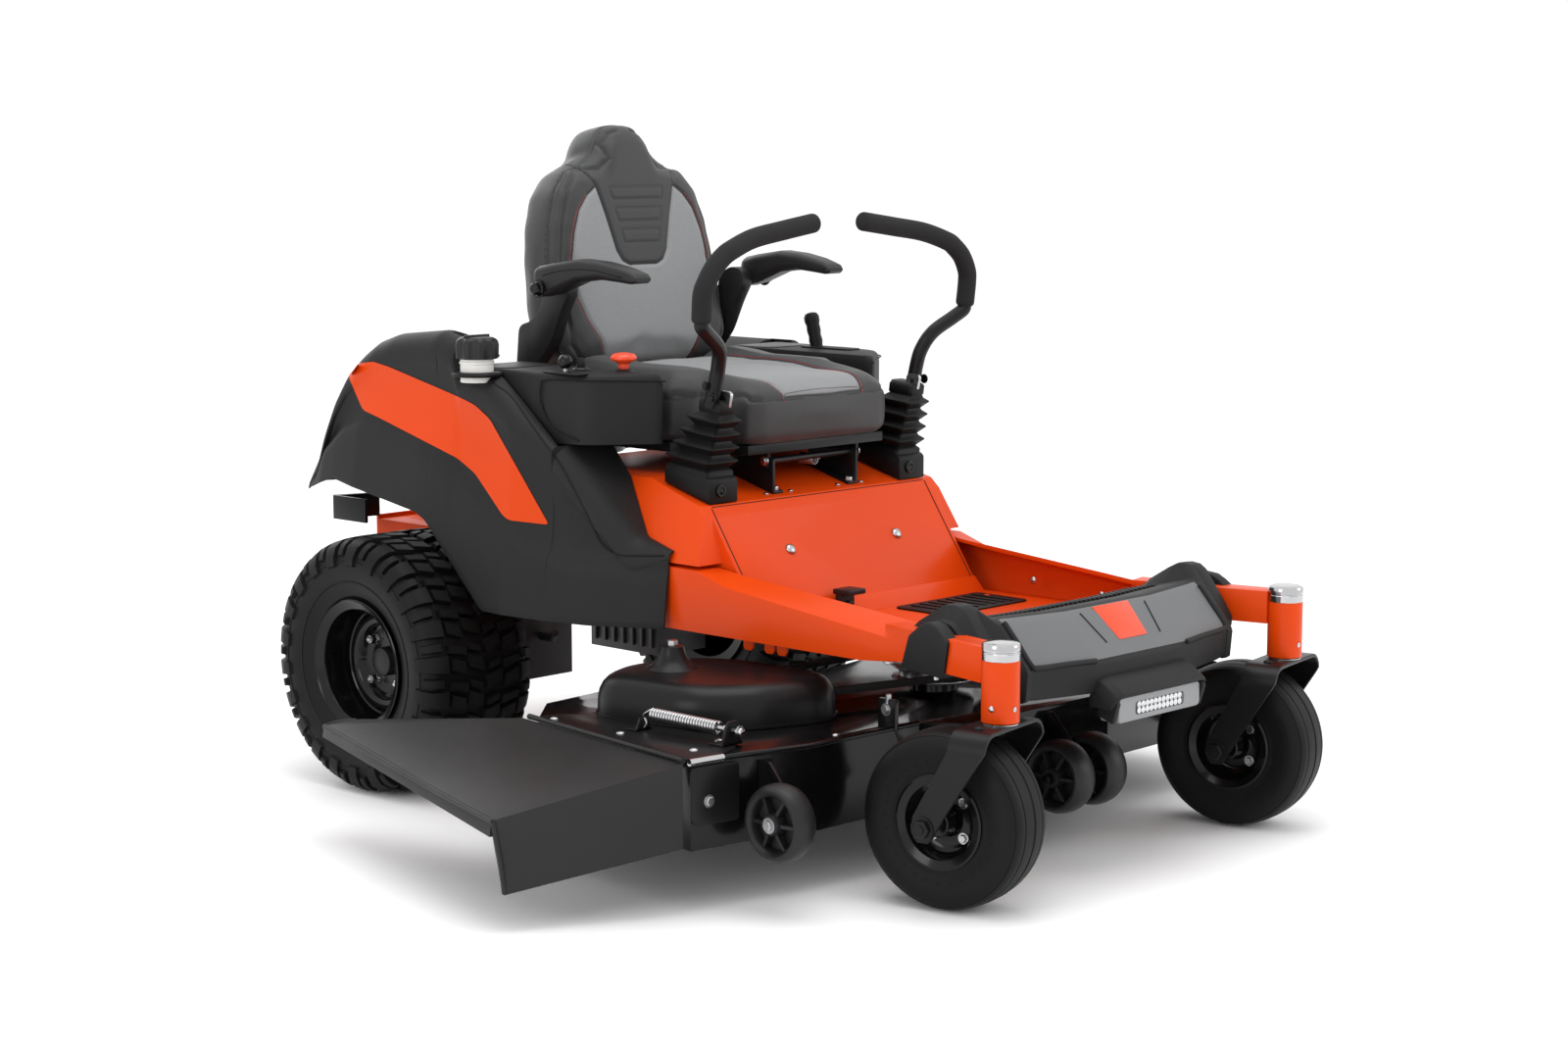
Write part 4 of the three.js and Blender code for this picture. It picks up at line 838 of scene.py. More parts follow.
def foot_plate():
    def row(x, points, squeeze=1.0, centre=(-1190, 380)):
        return [(x, centre[0] + (y - centre[0]) * squeeze, centre[1] + (z - centre[1]) * squeeze) for y, z in points]

    def between(t):
        return [(a[0] + (b[0] - a[0]) * t, a[1] + (b[1] - a[1]) * t) for a, b in zip(PLATE_MIDDLE, PLATE_SHOULDER)]
    stations = []
    for x, t in ((-262, 1.0), (-250, 1.0), (-236, 0.86), (-128, 0.12), (-110, 0.0), (110, 0.0), (128, 0.12), (236,
            0.86),
                 (250, 1.0), (262, 1.0)):
        stations.append(row(x, between(t)))
    shape = Shape().add(loft(stations))
    made = piece("foot_plate_look", shape, [CHARCOAL, LIT_FACE_GREY], "chassis", "grey_plastic", ["foot_plate"], bevel=2.2,
                 turn=24, angle=32)
    # Faces that look forward and up take the lighter grey and the rest stay charcoal: painted light on the faces that
    # meet the light.
    for face in made.data.polygons:
        _, y, z = (face.center - ORIGIN) * 1000
        n = face.normal
        if n.y < -0.4 and n.z > 0.3 and z > 352:
            face.material_index = 1
    bead = Shape()
    for sign in (-1, 1):
        run = [(sign * 254, -1236, 416), (sign * 254, -1262, 388), (sign * 254, -1288, 358), (sign * 243, -1294,
                352.5),
               (sign * 180, -1301, 351), (sign * 120, -1309, 349)]
        bead.add(tube(spline(run, 5), 4.4, 10, 0.6))
    piece("plate_bead", bead, [CHARCOAL], "chassis", "grey_plastic", angle=60)
    # Near-black beads along the plate's two creases: painted shade in the creases.
    creases = Shape()
    for sign in (-1, 1):
        creases.add(tube([(sign * 84, -1249, 412.4), (sign * 70, -1292, 369.6)], 1.2, 8))
    piece("plate_crease_shade", creases, [RUBBER_AND_GAP_SHADE], "chassis", "grey_plastic", angle=60)
    horn = [(-1102, 404), (-1112, 413), (-1150, 436), (-1166, 444), (-1180, 446), (-1196, 444), (-1208, 436), (-1250,
            380), (-1263, 360),
            (-1262, 346), (-1254, 338), (-1242, 337), (-1236, 342), (-1190, 392), (-1172, 398), (-1106, 366)]
    tip = [(-1110, 372), (-1116, 386), (-1148, 412), (-1164, 421), (-1178, 424), (-1194, 421), (-1204, 414), (-1238,
            372),
           (-1247, 358), (-1246, 350), (-1240, 345), (-1230, 344), (-1222, 348), (-1186, 386), (-1172, 392), (-1116,
                   360)]
    shape = Shape()
    for sign in (-1, 1):
        loops = [row(sign * 255, PLATE_SHOULDER, 1.012), row(sign * 268, PLATE_SHOULDER, 1.02), row(sign * 284, horn,
                0.985),
                 row(sign * 292, horn), row(sign * 312, horn, 0.99), row(sign * 326, tip, 1.02), row(sign * 333.5,
                         tip, 0.94)]
        shape.add(loft(loops))
    piece("plate_ends", shape, [CHARCOAL], "chassis", "black_plastic", bevel=2.6, turn=26, angle=36)
    shape = Shape()
    for sign in (-1, 1):
        skirt = [(-1106, 342), (-1126, 398), (-1146, 412), (-1164, 421), (-1178, 424), (-1196, 421), (-1210, 412),
                 (-1224, 400),
                 (-1213, 342)]
        def skin(draw, rise):
            return [(sign * (348 + (-1106 - y) * 0.227 - draw), y, z - (rise if z > 390 else 0)) for y, z in skirt]
        shape.add(loft([skin(26, 0), skin(4, 0), skin(0, 4)]))
    piece("plate_skirts", shape, [CHARCOAL], "chassis", "black_plastic", bevel=3.0, turn=26, angle=36)
    shape = Shape()
    for r, (y, z) in enumerate(((-1112, 395.2), (-1128, 398.8), (-1144, 402.4), (-1160, 405.8))):
        for k in range(40):
            x = -232 + k * 11.6 + (r % 2) * 5.8
            lift = 4.0 * max(0.0, (abs(x) - 110) / 140)
            tooth = [(y - 6, z + lift - 1.5), (y - 4.6, z + lift + 4.4), (y + 3.4, z + lift + 4.0), (y + 6,
                    z + lift - 1.5)]
            shape.add(prism(tooth, "x", x - 3.9, x + 3.9))
    piece("plate_treads", shape, [RUBBER_AND_GAP_SHADE], "chassis", "grey_plastic", bevel=0.8)
    slope = Vector((0, -38, 38)).normalized()
    shape = Shape()
    foot = [(-46, -1243, 417), (46, -1243, 417), (36, -1291, 370), (-36, -1291, 370)]
    shape.add(loft([[Vector(p) + slope * -3 for p in foot], [Vector(p) + slope * 1.1 for p in foot]]))
    piece("plate_badge", shape, [KNOB_ORANGE], "chassis", "red_plastic", bevel=0.8)
    shape = Shape()
    hood = [(-1298, 306), (-1304, 326), (-1330, 316), (-1352, 300), (-1353, 294), (-1340, 293.4), (-1310, 296),
            (-1300, 292.6)]
    loops = []
    for x, drop, back in ((-123, 20, 10), (-116, 5, 3), (-104, 0, 0), (104, 0, 0), (116, 5, 3), (123, 20, 10)):
        loops.append([(x, y + (back if y < -1320 else 0), z - drop) for y, z in hood])
    shape.add(loft(loops))
    for sign in (-1, 1):
        shape.add(prism([(-1309, 300), (-1346, 292), (-1350, 284), (-1340, 252), (-1312, 262)], "x", sign * 112 - 4.5,
                        sign * 112 + 4.5))
    piece("light_visor", shape, [CHARCOAL], "chassis", "grey_plastic", bevel=2.0, turn=24)


def light_bar():
    shape = Shape()
    body = ring(212, 40, 7, 5, (0, 272))
    window = ring(128, 21, 6, 5, (0, 271))
    back, front = -1309, -1344.8
    rims = [[(x, back, z) for x, z in body], [(x, front + 2, z) for x, z in body],
            [(x * 0.99, front, 272 + (z - 272) * 0.93) for x, z in body], [(x, front, z) for x, z in window],
            [(x * 0.97, front + 5, 271 + (z - 271) * 0.86) for x, z in window]]
    shape.add(loft(rims))
    piece("light_bar_look", shape, [SILVER], "chassis", "silver", ["light_bar"], angle=30)
    shape = Shape()
    for z in (266.2, 275.8):
        for k in range(11):
            x = -53 + k * 10.6
            cup = [(0, 0.4), (1.6, 0.2), (3.6, 1.6), (4.7, 3.6), (4.9, 4.4), (4.2, 4.4), (3.0, 2.4), (1.2, 1.3), (0,
                    1.2)]
            shape.add(lathe(cup, (x, front + 5, z), (0, -1, 0), 20), 0)
            dome(shape, (x, front + 4.2, z), (0, -1, 0), 1.9, 1)
    piece("light_lenses", shape, [LENS, WHITE], "chassis", "silver", angle=40)


# ---------------------------------------------------------------- fenders and consoles
FENDER_TOP = [(270, 526), (240, 582), (184, 692), (150, 738), (112, 768), (70, 792), (24, 806), (-100, 818), (-152,
        806),
              (-166, 752), (-245, 745), (-300, 705), (-386, 635), (-450, 562), (-517, 487), (-586, 470)]
FENDER_LOW = [(270, 512), (167, 541), (91, 529), (-75, 502), (-101, 490), (-248, 347), (-463, 340), (-586, 341)]
FENDER_OUT = [(270, 430), (210, 450), (100, 462), (-300, 462), (-393, 440), (-463, 412), (-586, 352)]
FENDER_CREASE = [(270, 522), (206, 596), (150, 636), (96, 652), (38, 648), (-77, 622), (-135, 600), (-187, 568),
                 (-238, 528),
                 (-288, 498), (-338, 472), (-437, 447), (-586, 445)]
FENDER_CAP = {"right": 818, "left": 762}
DECAL = [(84, 752), (112, 728), (72, 670), (33, 661), (-187, 604), (-232, 582), (-304, 515), (-320, 509), (-420, 511),
         (-273, 678), (-235, 699), (-203, 708), (-1, 752), (40, 758)]
KNEE_LINE = [(-268, 742), (-318, 722), (-355, 691), (-410, 642), (-446, 612), (-493, 555), (-534, 501), (-548, 489),
             (-562, 482),
             (-590, 477), (-640, 481), (-690, 486)]


def rounded_path(points):
    """A smooth curve through the points of a plane."""
    return [(p.x, p.y) for p in spline([(a, b, 0) for a, b in points], 8)]


def landing(surface, eye):
    """Gives the point and normal where the line from the eye through a point meets the surface."""
    tree = BVHTree.FromObject(surface, bpy.context.evaluated_depsgraph_get())
    to_surface = surface.matrix_world.inverted()

    def land(point):
        ahead = (Vector(point) - eye).normalized()
        hit, normal, _, _ = tree.ray_cast(to_surface @ at(*(Vector(point) - ahead * 160)), ahead, 1.0)
        if hit is None:
            return None, -ahead
        return (surface.matrix_world @ hit - ORIGIN) * 1000, normal if normal.dot(ahead) < 0 else -normal
    return land


def drape(name, surface, path, eye, radius, material, slot, body="chassis"):
    """A thin bead that lies half sunk in the surface, under the path as the eye sees it."""
    land = landing(surface, eye)
    spots = [spot for spot in (land(p)[0] for p in path) if spot is not None]
    if len(spots) > 1:
        piece(name, Shape().add(tube(spots, radius, 8)), [material], body, slot, angle=60)


def patch(name, surface, outline, eye, material, slot, body="chassis"):
    """A film on the surface, inside the outline as the eye sees it."""
    land = landing(surface, eye)
    bm = bmesh.new()
    border = []
    for a, b in zip(outline, outline[1:] + outline[:1]):
        a, b = Vector(a), Vector(b)
        steps = max(1, int((b - a).length / 9))
        border += [bm.verts.new(a.lerp(b, k / steps)) for k in range(steps)]
    edges = [bm.edges.new((a, b)) for a, b in zip(border, border[1:] + border[:1])]
    bmesh.ops.triangle_fill(bm, edges=edges, use_beauty=True)
    for _ in range(5):
        long = [e for e in bm.edges if e.calc_length() > 8]
        if long:
            bmesh.ops.subdivide_edges(bm, edges=long, cuts=1)
            bmesh.ops.triangulate(bm, faces=bm.faces)
    for vert in bm.verts:
        spot, normal = land(vert.co)
        vert.co = at(*((spot if spot is not None else vert.co) + normal * 0.9))
    bmesh.ops.recalc_face_normals(bm, faces=bm.faces)
    if sum(f.normal.x for f in bm.faces) * outline[0][0] < 0:
        bmesh.ops.reverse_faces(bm, faces=bm.faces)
    return finished(name, bm, [material], body, slot, (), 60)


def fender(side, sign):
    cap = FENDER_CAP[side]
    stations = sorted({270, -586, -110.5, -111.5, -385.2, -386.4} | {270 - 8 * k for k in range(1, 107)},
                      reverse=True)
    loops = []
    for y in stations:
        top, low, out = min(along(FENDER_TOP, y), cap), along(FENDER_LOW, y), along(FENDER_OUT, y)
        edge = out - min(24, (top - low) * 0.1)
        wall = 278 + (580 - min(top, 580)) * 54 / 131 + 3
        inside = 292 if y > -111 else max(wall, 402 if y > -386 else 0)
        size = min(42, (top - low) * 0.6, edge - inside - 1)
        fall = min((edge - size - inside) * 0.45, (top - low) * 0.5) if y > -111 else 0
        crease = min(max(along(FENDER_CREASE, y), low + 8), top - size - 8)
        deep = min(12.0, (crease - low) * 0.2) * min(1.0, (y + 586) / 160)

        def flank(z, sunk):
            return out + (edge - out) * (z - low) / max(top - size - low, 1) - sunk
        points = [(flank(low, 0.6), low), (flank(low, 0), low + 2)]
        for u in (0.12, 0.3, 0.5, 0.68, 0.82):
            points.append((flank(low + (crease - low) * u, 0), low + (crease - low) * u))
        rise = min(9.0, (crease - low) * 0.12)
        points += [(flank(crease, deep * 0.12), crease - rise * 0.9), (flank(crease, deep * 0.45),
                crease - rise * 0.3),
                   (flank(crease, deep * 0.85), crease + rise * 0.3), (flank(crease, deep), crease + rise)]
        upper = top - size
        for u in (0.12, 0.24, 0.36, 0.48, 0.6, 0.7, 0.8, 0.9):
            z = crease + rise + (upper - crease - rise) * u
            points.append((flank(z, deep * (1 - u ** 3)), z))
        for u in (0, 0.17, 0.33, 0.5, 0.67, 0.83, 1):
            angle = u * math.pi / 2
            points.append((edge - size * (1 - math.cos(angle)), upper + size * math.sin(angle)))
        for u in (0.12, 0.3, 0.5, 0.7, 0.85, 1):
            x = edge - size + (inside - edge + size) * u
            points.append((x, top - fall * u ** 1.6))
        under = [(x - (3 if i < 18 else 0), z - (0 if i < 2 else 3 if i >= 18 else 0.5)) for i, (x,
                z) in enumerate(points)]
        loops.append([(sign * x, y, z) for x, z in points + under[::-1]])
    shape = Shape().add(loft(loops))
    made = piece(f"fender_look_{side}", shape, [CHARCOAL], "chassis", "charcoal_plastic", [f"fender_{side}"],
                 angle=30)
    eye = Vector((sign * -CAMERA_SPOT[0], *CAMERA_SPOT[1:]))
    patch(f"fender_band_{side}", made, [(sign * 455, y, z) for y, z in rounded(DECAL, 9)], eye, ORANGE,
          "charcoal_plastic")
    # A near-black bead along the knee panel's line: painted shade in the gap round the knee panel.
    line = [(sign * 450, y, z) for y, z in rounded_path(KNEE_LINE)]
    drape(f"knee_gap_shade_{side}", made, line, eye, 1.7, RUBBER_AND_GAP_SHADE, "charcoal_plastic")
    if side == "right":
        shape = Shape()
        neck = [(0, 735), (28.6, 735), (28.6, 766), (30.2, 767), (30.2, 770), (28.6, 771), (28.6, 776), (0, 776)]
        shape.add(lathe(neck, (-424, -204, 0), (0, 0, 1), 64))
        piece("filler_neck", shape, [WHITE], "chassis", "charcoal_plastic", angle=30)
        shape = Shape()
        shape.add(lathe([(30, 745), (44, 745), (45, 749), (42.5, 752.5), (30, 753)], (-424, -204, 0), (0, 0, 1), 56))
        piece("filler_collar", shape, [RUBBER_AND_GAP_SHADE], "chassis", "charcoal_plastic", angle=30)


def fuel_cap():
    rows = []
    for z, radius, depth in ((775, 34, 0.6), (776.4, 35.6, 1.8), (799, 35.6, 2.4), (805, 34.4, 2.2), (809, 31.6, 1.6),
                             (811.4, 27.5, 0.6), (812.6, 22, 0), (812.8, 8, 0)):
        loop = []
        for k in range(144):
            a = 2 * math.pi * k / 144
            r = radius + depth * math.copysign(abs(math.cos(9 * a)) ** 0.5, math.cos(9 * a))
            loop.append((-424 + r * math.cos(a), -204 + r * math.sin(a), z))
        rows.append(loop)
    shape = Shape().add(loft(rows))
    shape.add(prism(ring(54, 10, 4, 4, (-424, -204)), "z", 808, 816))
    piece("fuel_cap_look", shape, [BLACK_PLASTIC], "fuel_cap", "black_plastic", ["fuel_cap"], angle=40)


CONSOLE_PLAN = [(262, -118), (396, -118), (396, -330), (372, -420), (258, -506)]


def rounded(points, radius, corners=5):
    """An outline with each corner turned into an arc."""
    made = []
    for i, point in enumerate(points):
        here = Vector(point)
        before, after = Vector(points[i - 1]) - here, Vector(points[(i + 1) % len(points)]) - here
        reach = min(radius, before.length / 2.2, after.length / 2.2)
        a, b = here + before.normalized() * reach, here + after.normalized() * reach
        for k in range(corners + 1):
            t = k / corners
            made.append(tuple(a * (1 - t) ** 2 + here * 2 * t * (1 - t) + b * t * t))
    return made


def console(side, sign):
    shape = Shape()
    plan = rounded(CONSOLE_PLAN, 26)
    middle = Vector((320, -300))

    def shrink(amount, z):
        loop = []
        for x, y in plan:
            out = (Vector((x, y)) - middle).normalized() * amount
            loop.append((sign * (x - out.x), y - out.y, z))
        return loop
    loops = [shrink(0.4, 637.5), shrink(0, 640), shrink(0, 740), shrink(1.2, 747), shrink(4, 752.6), shrink(8.5, 756),
             shrink(14, 756.8)]
    shape.add(loft(loops))
    piece(f"console_look_{side}", shape, [CHARCOAL], "chassis", "charcoal_plastic", [f"console_{side}"], angle=30)
    # Near-black beads along the console's panel lines: painted shade in the grooves.
    groove_shade = Shape()
    line = [(396.2, -338, 744), (396.2, -336, 706), (388, -358, 668), (376, -408, 644)]
    top = [(396.2, -338, 744), (388, -362, 747), (373.5, -417, 747), (330, -452, 746), (262, -502, 744)]
    for path in (line, top):
        groove_shade.add(tube([(sign * (x + 0.5), y, z) for x, y, z in spline(path, 6)], 1.5, 8))
    piece(f"console_seam_shade_{side}", groove_shade, [RUBBER_AND_GAP_SHADE], "chassis", "charcoal_plastic", angle=60)
    shape = Shape()
    pad = ring(118, 92, 14, 5, (sign * 327, -190))
    shape.add(prism(pad, "z", 756.4, 758.2))
    piece(f"console_tray_{side}", shape, [BLACK_PLASTIC], "chassis", "charcoal_plastic", bevel=0.7)
    if side == "left":
        shape = Shape().add(prism(ring(36, 126, 8, 4, (340, -322)), "z", 756, 760))
        # A near-black strip over the lift lever's slot: painted shade in the opening.
        shape.add(prism(ring(14, 104, 6, 4, (340, -322)), "z", 759, 760.6), 1)
        piece("lift_gate", shape, [BLACK_PLASTIC, RUBBER_AND_GAP_SHADE], "chassis", "black_plastic", bevel=0.8)
    else:
        shape = Shape().add(prism(ring(28, 92, 8, 4, (-372, -372)), "z", 756, 758.6))
        # A near-black strip over the throttle's slot: painted shade in the opening.
        shape.add(prism(ring(9, 74, 4, 4, (-372, -372)), "z", 758, 759), 1)
        shape.add(lathe([(0, 756), (15, 756), (15, 759), (12, 762), (0, 762)], (-318, -352, 0), (0, 0, 1), 40))
        shape.add(block((-321.4, -359, 761), (-314.6, -345, 778)), 0)
        shape.add(lathe([(0, 756), (19, 756), (19, 757.6), (12, 761), (0, 761)], (-286, -424, 0), (0, 0, 1), 40))
        piece("switch_panel", shape, [BLACK_PLASTIC, RUBBER_AND_GAP_SHADE], "chassis", "black_plastic", bevel=0.6)


def knobs():
    shape = Shape()
    shape.add(lathe([(0, 700), (6, 700), (6, 762), (9, 763), (9.5, 770), (13, 773), (20.4, 776), (22.4, 779), (22,
            783), (18, 787),
                     (9, 789), (0, 789.6)], (-286, -424, 0), (0, 0, 1), 56))
    piece("pto_knob_look", shape, [KNOB_ORANGE], "pto_knob", "red_plastic", ["pto_knob"], angle=30)
    shape = Shape()
    ball = [(0, 764)] + [(12.6 * math.sin(a), 776 - 12.6 * math.cos(a)) for a in (0.35, 0.7, 1.05, 1.4, 1.75, 2.1,
            2.45, 2.8)] + [(0, 788.6)]
    shape.add(lathe(ball, (-372, -372, 0), (0, 0, 1), 40))
    shape.add(lathe([(0, 693), (3.6, 693), (3.6, 768), (0, 768)], (-372, -372, 0), (0, 0, 1), 16), 1)
    shape.add(lathe([(0, -6), (7, -6), (7, 6), (0, 6)], (-372, -372, 700), (1, 0, 0), 24), 1)
    piece("throttle_look", shape, [GLOSS_BLACK, STEEL], "throttle_lever", "black_plastic", ["throttle_lever"],
          angle=35)

    def up(t):
        return (340, -330 + 58 * t, 600 + 222 * t)
    shape = Shape()
    shape.add(tube([up(t / 10) for t in range(9)], 6, 16), 1)
    shape.add(lathe([(0, -14), (12, -14), (12, 14), (0, 14)], up(0), (1, 0, 0), 24), 1)
    start = Vector(up(0.66))
    direction = (Vector(up(1)) - start).normalized()
    grip = [(0, 0), (10.5, 0), (12, 2), (11.2, 14), (13, 24), (11.6, 34), (13.2, 44), (12.4, 54), (14.4, 62), (14.4,
            70), (11, 76), (5, 78),
            (0, 78.2)]
    shape.add(lathe(grip, start, direction, 32), 0)
    piece("lift_lever_look", shape, [RUBBER_AND_GAP_SHADE, SATIN_BLACK], "lift_lever", "foam", ["lift_lever"], angle=40)


# ---------------------------------------------------------------- seat
CLOTH_PRESSURE, CLOTH_TENSION, CLOTH_COMPRESSION, CLOTH_BENDING = 4, 40, 25, 6
CLOTH_FRAMES = 20
SMOOTH_PASSES = 14


def inflate(made, cap):
    """Lets cloth under pressure swell the closed form, with no point moving further than the cap."""
    before = np.empty(len(made.data.vertices) * 3)
    made.data.vertices.foreach_get("co", before)
    cloth = made.modifiers.new("cloth", "CLOTH")
    cloth.settings.quality = 5
    cloth.settings.use_pressure = True
    cloth.settings.uniform_pressure_force = CLOTH_PRESSURE
    cloth.settings.tension_stiffness = CLOTH_TENSION
    cloth.settings.compression_stiffness = CLOTH_COMPRESSION
    cloth.settings.bending_stiffness = CLOTH_BENDING
    cloth.settings.effector_weights.gravity = 0
    cloth.collision_settings.use_collision = False
    scene = bpy.context.scene
    for k in range(1, CLOTH_FRAMES + 1):
        scene.frame_set(k)
    shaped = made.evaluated_get(bpy.context.evaluated_depsgraph_get())
    after = np.empty(len(made.data.vertices) * 3)
    shaped.data.vertices.foreach_get("co", after)
    made.modifiers.remove(cloth)
    scene.frame_set(1)
    move = (after - before).reshape(-1, 3)
    length = np.linalg.norm(move, axis=1)
    scale = np.where(length > cap, cap / np.maximum(length, 1e-9), 1.0)
    made.data.vertices.foreach_set("co", before + (move * scale[:, None]).ravel())
    made.data.update()


def stuffed(name, shape, materials, body, slot, replaces, voxel, swell):
    """A soft closed form: remeshed evenly, swelled as cloth and subdivided."""
    made = piece(name, shape, materials, body, slot, replaces, angle=180)
    remesh = made.modifiers.new("remesh", "REMESH")
    remesh.mode = "VOXEL"
    remesh.voxel_size = voxel
    remesh.use_smooth_shade = True
    smooth = made.modifiers.new("smooth", "SMOOTH")
    smooth.factor = 0.6
    smooth.iterations = 6
    graph = bpy.context.evaluated_depsgraph_get()
    mesh = bpy.data.meshes.new_from_object(made.evaluated_get(graph))
    made.modifiers.clear()
    made.data = mesh
    mesh.name = name
    inflate(made, swell)
    bm = bmesh.new()
    bm.from_mesh(mesh)
    for _ in range(SMOOTH_PASSES):
        bmesh.ops.smooth_vert(bm, verts=bm.verts, factor=0.5, use_axis_x=True, use_axis_y=True, use_axis_z=True)
    bmesh.ops.subdivide_edges(bm, edges=bm.edges, cuts=1, use_grid_fill=True, smooth=0.6)
    bm.to_mesh(mesh)
    bm.free()
    mesh.shade_smooth()
    return made


def pressed(made, depth_of):
    """Moves each point against its normal by the depth given, in millimetres."""
    mesh = made.data
    places, normals = np.empty(len(mesh.vertices) * 3), np.empty(len(mesh.vertices) * 3)
    mesh.vertices.foreach_get("co", places)
    mesh.vertices.foreach_get("normal", normals)
    places = places.reshape(-1, 3) - normals.reshape(-1, 3) * (depth_of / 1000)[:, None]
    mesh.vertices.foreach_set("co", places.ravel())
    mesh.update()


def mirrored_outline(half):
    return list(half) + [(-x, z) for x, z in reversed(half)]


def seat_fabric():
    finish = Finish("seat_vinyl", (0.026, 0.0265, 0.0275), 0.5, grain=900, bump=0.28, patch=5, vary=0.14, sheen=0.08,
                    specular=0.35)
    panel = finish.inside(finish.attribute("panel"), 0.0009)
    weave = node(finish.tree, "TexVoronoi", Scale=900.0)
    finish.link(finish.place, weave.inputs["Vector"])
    cloth = finish.blend(weave.outputs["Distance"], (0.265, 0.269, 0.274), (0.178, 0.181, 0.186))
    finish.colour = finish.blend(panel, finish.colour, cloth)
    # The seams and pressed marks are darkened to near black: painted shade in the pressed grooves.
    seam = finish.line(finish.attribute("seam"), 0.0011, 0.0007)
    finish.colour = finish.blend(seam, finish.colour, (0.012, 0.012, 0.013))
    finish.rough = finish.maths("ADD", finish.rough, finish.maths("MULTIPLY", panel, 0.18), clamp=True)
    leather = node(finish.tree, "TexVoronoi", Scale=420.0)
    finish.link(finish.place, leather.inputs["Vector"])
    finish.raise_by(leather.outputs["Distance"], 0.16, 0.0008)
    finish.dust((0.12, 0.12, 0.12), 0.05)
    return finish.done()


SEAT_FABRIC = seat_fabric()
THREAD = plain("dark_thread", (0.03, 0.03, 0.031), 0.7, grain=900, bump=0.2)
RED_THREAD = plain("red_thread", (0.42, 0.03, 0.03), 0.6, grain=900, bump=0.2)


def stitches(name, surface, paths, toward, material, body, gap=6.4, length=4.2, thick=0.55):
    """Short threads laid on the surface under the paths, which are seen along toward."""
    graph = bpy.context.evaluated_depsgraph_get()
    tree = BVHTree.FromObject(surface, graph)
    to_surface = surface.matrix_world.inverted()
    shape = Shape()
    toward = Vector(toward).normalized()
    for path in paths:
        curve = [Vector(p) for p in path]
        run, walked = 0.0, 0.0
        for a, b in zip(curve, curve[1:]):
            span = (b - a).length
            while walked <= run + span:
                t = (walked - run) / max(span, 1e-6)
                ahead = (b - a).normalized()
                ends = []
                for offset in (-length / 2, 0, length / 2):
                    spot = a.lerp(b, t) + ahead * offset
                    start = to_surface @ at(*(spot - toward * 90))
                    hit, normal, _, _ = tree.ray_cast(start, toward, 0.2)
                    if hit is not None:
                        ends.append(((surface.matrix_world @ hit) - ORIGIN) * 1000 + normal * thick * 0.55)
                if len(ends) == 3:
                    shape.add(tube(ends, thick, 6, 0.8))
                walked += gap
            run += span
    if shape.verts:
        piece(name, shape, [material], body, "vinyl", angle=60)


BACK_HALF = [(140, 722), (184, 736), (210, 772), (214, 850), (209, 930), (198, 990), (177, 1048), (146, 1086), (98,
        1108), (77, 1124),
             (58, 1152), (38, 1172), (16, 1177)]
BACK_TOP, BACK_Y, BACK_DEPTH, BACK_LEAN = 1181, -68, 122, 0.155
BACK_PANEL = [(115, 1104), (96, 1052), (80, 1002), (62, 935), (50, 916), (34, 909)]
BACK_LIGHT = [(96, 1052), (120, 1036), (142, 1010), (158, 970), (167, 930), (170, 889), (166, 850), (149, 812), (124,
        777), (112, 746),
              (108, 722), (106, 690)]


def on_back(x, s, lift=0.0):
    """A point on the backrest's front: s is its height measured along the face."""
    down = Vector((0, -math.sin(BACK_LEAN), -math.cos(BACK_LEAN)))
    out = Vector((0, -math.cos(BACK_LEAN), math.sin(BACK_LEAN)))
    return Vector((0, BACK_Y, BACK_TOP)) + Vector((x, 0, 0)) + down * (BACK_TOP - s) + out * (BACK_DEPTH / 2 + lift)


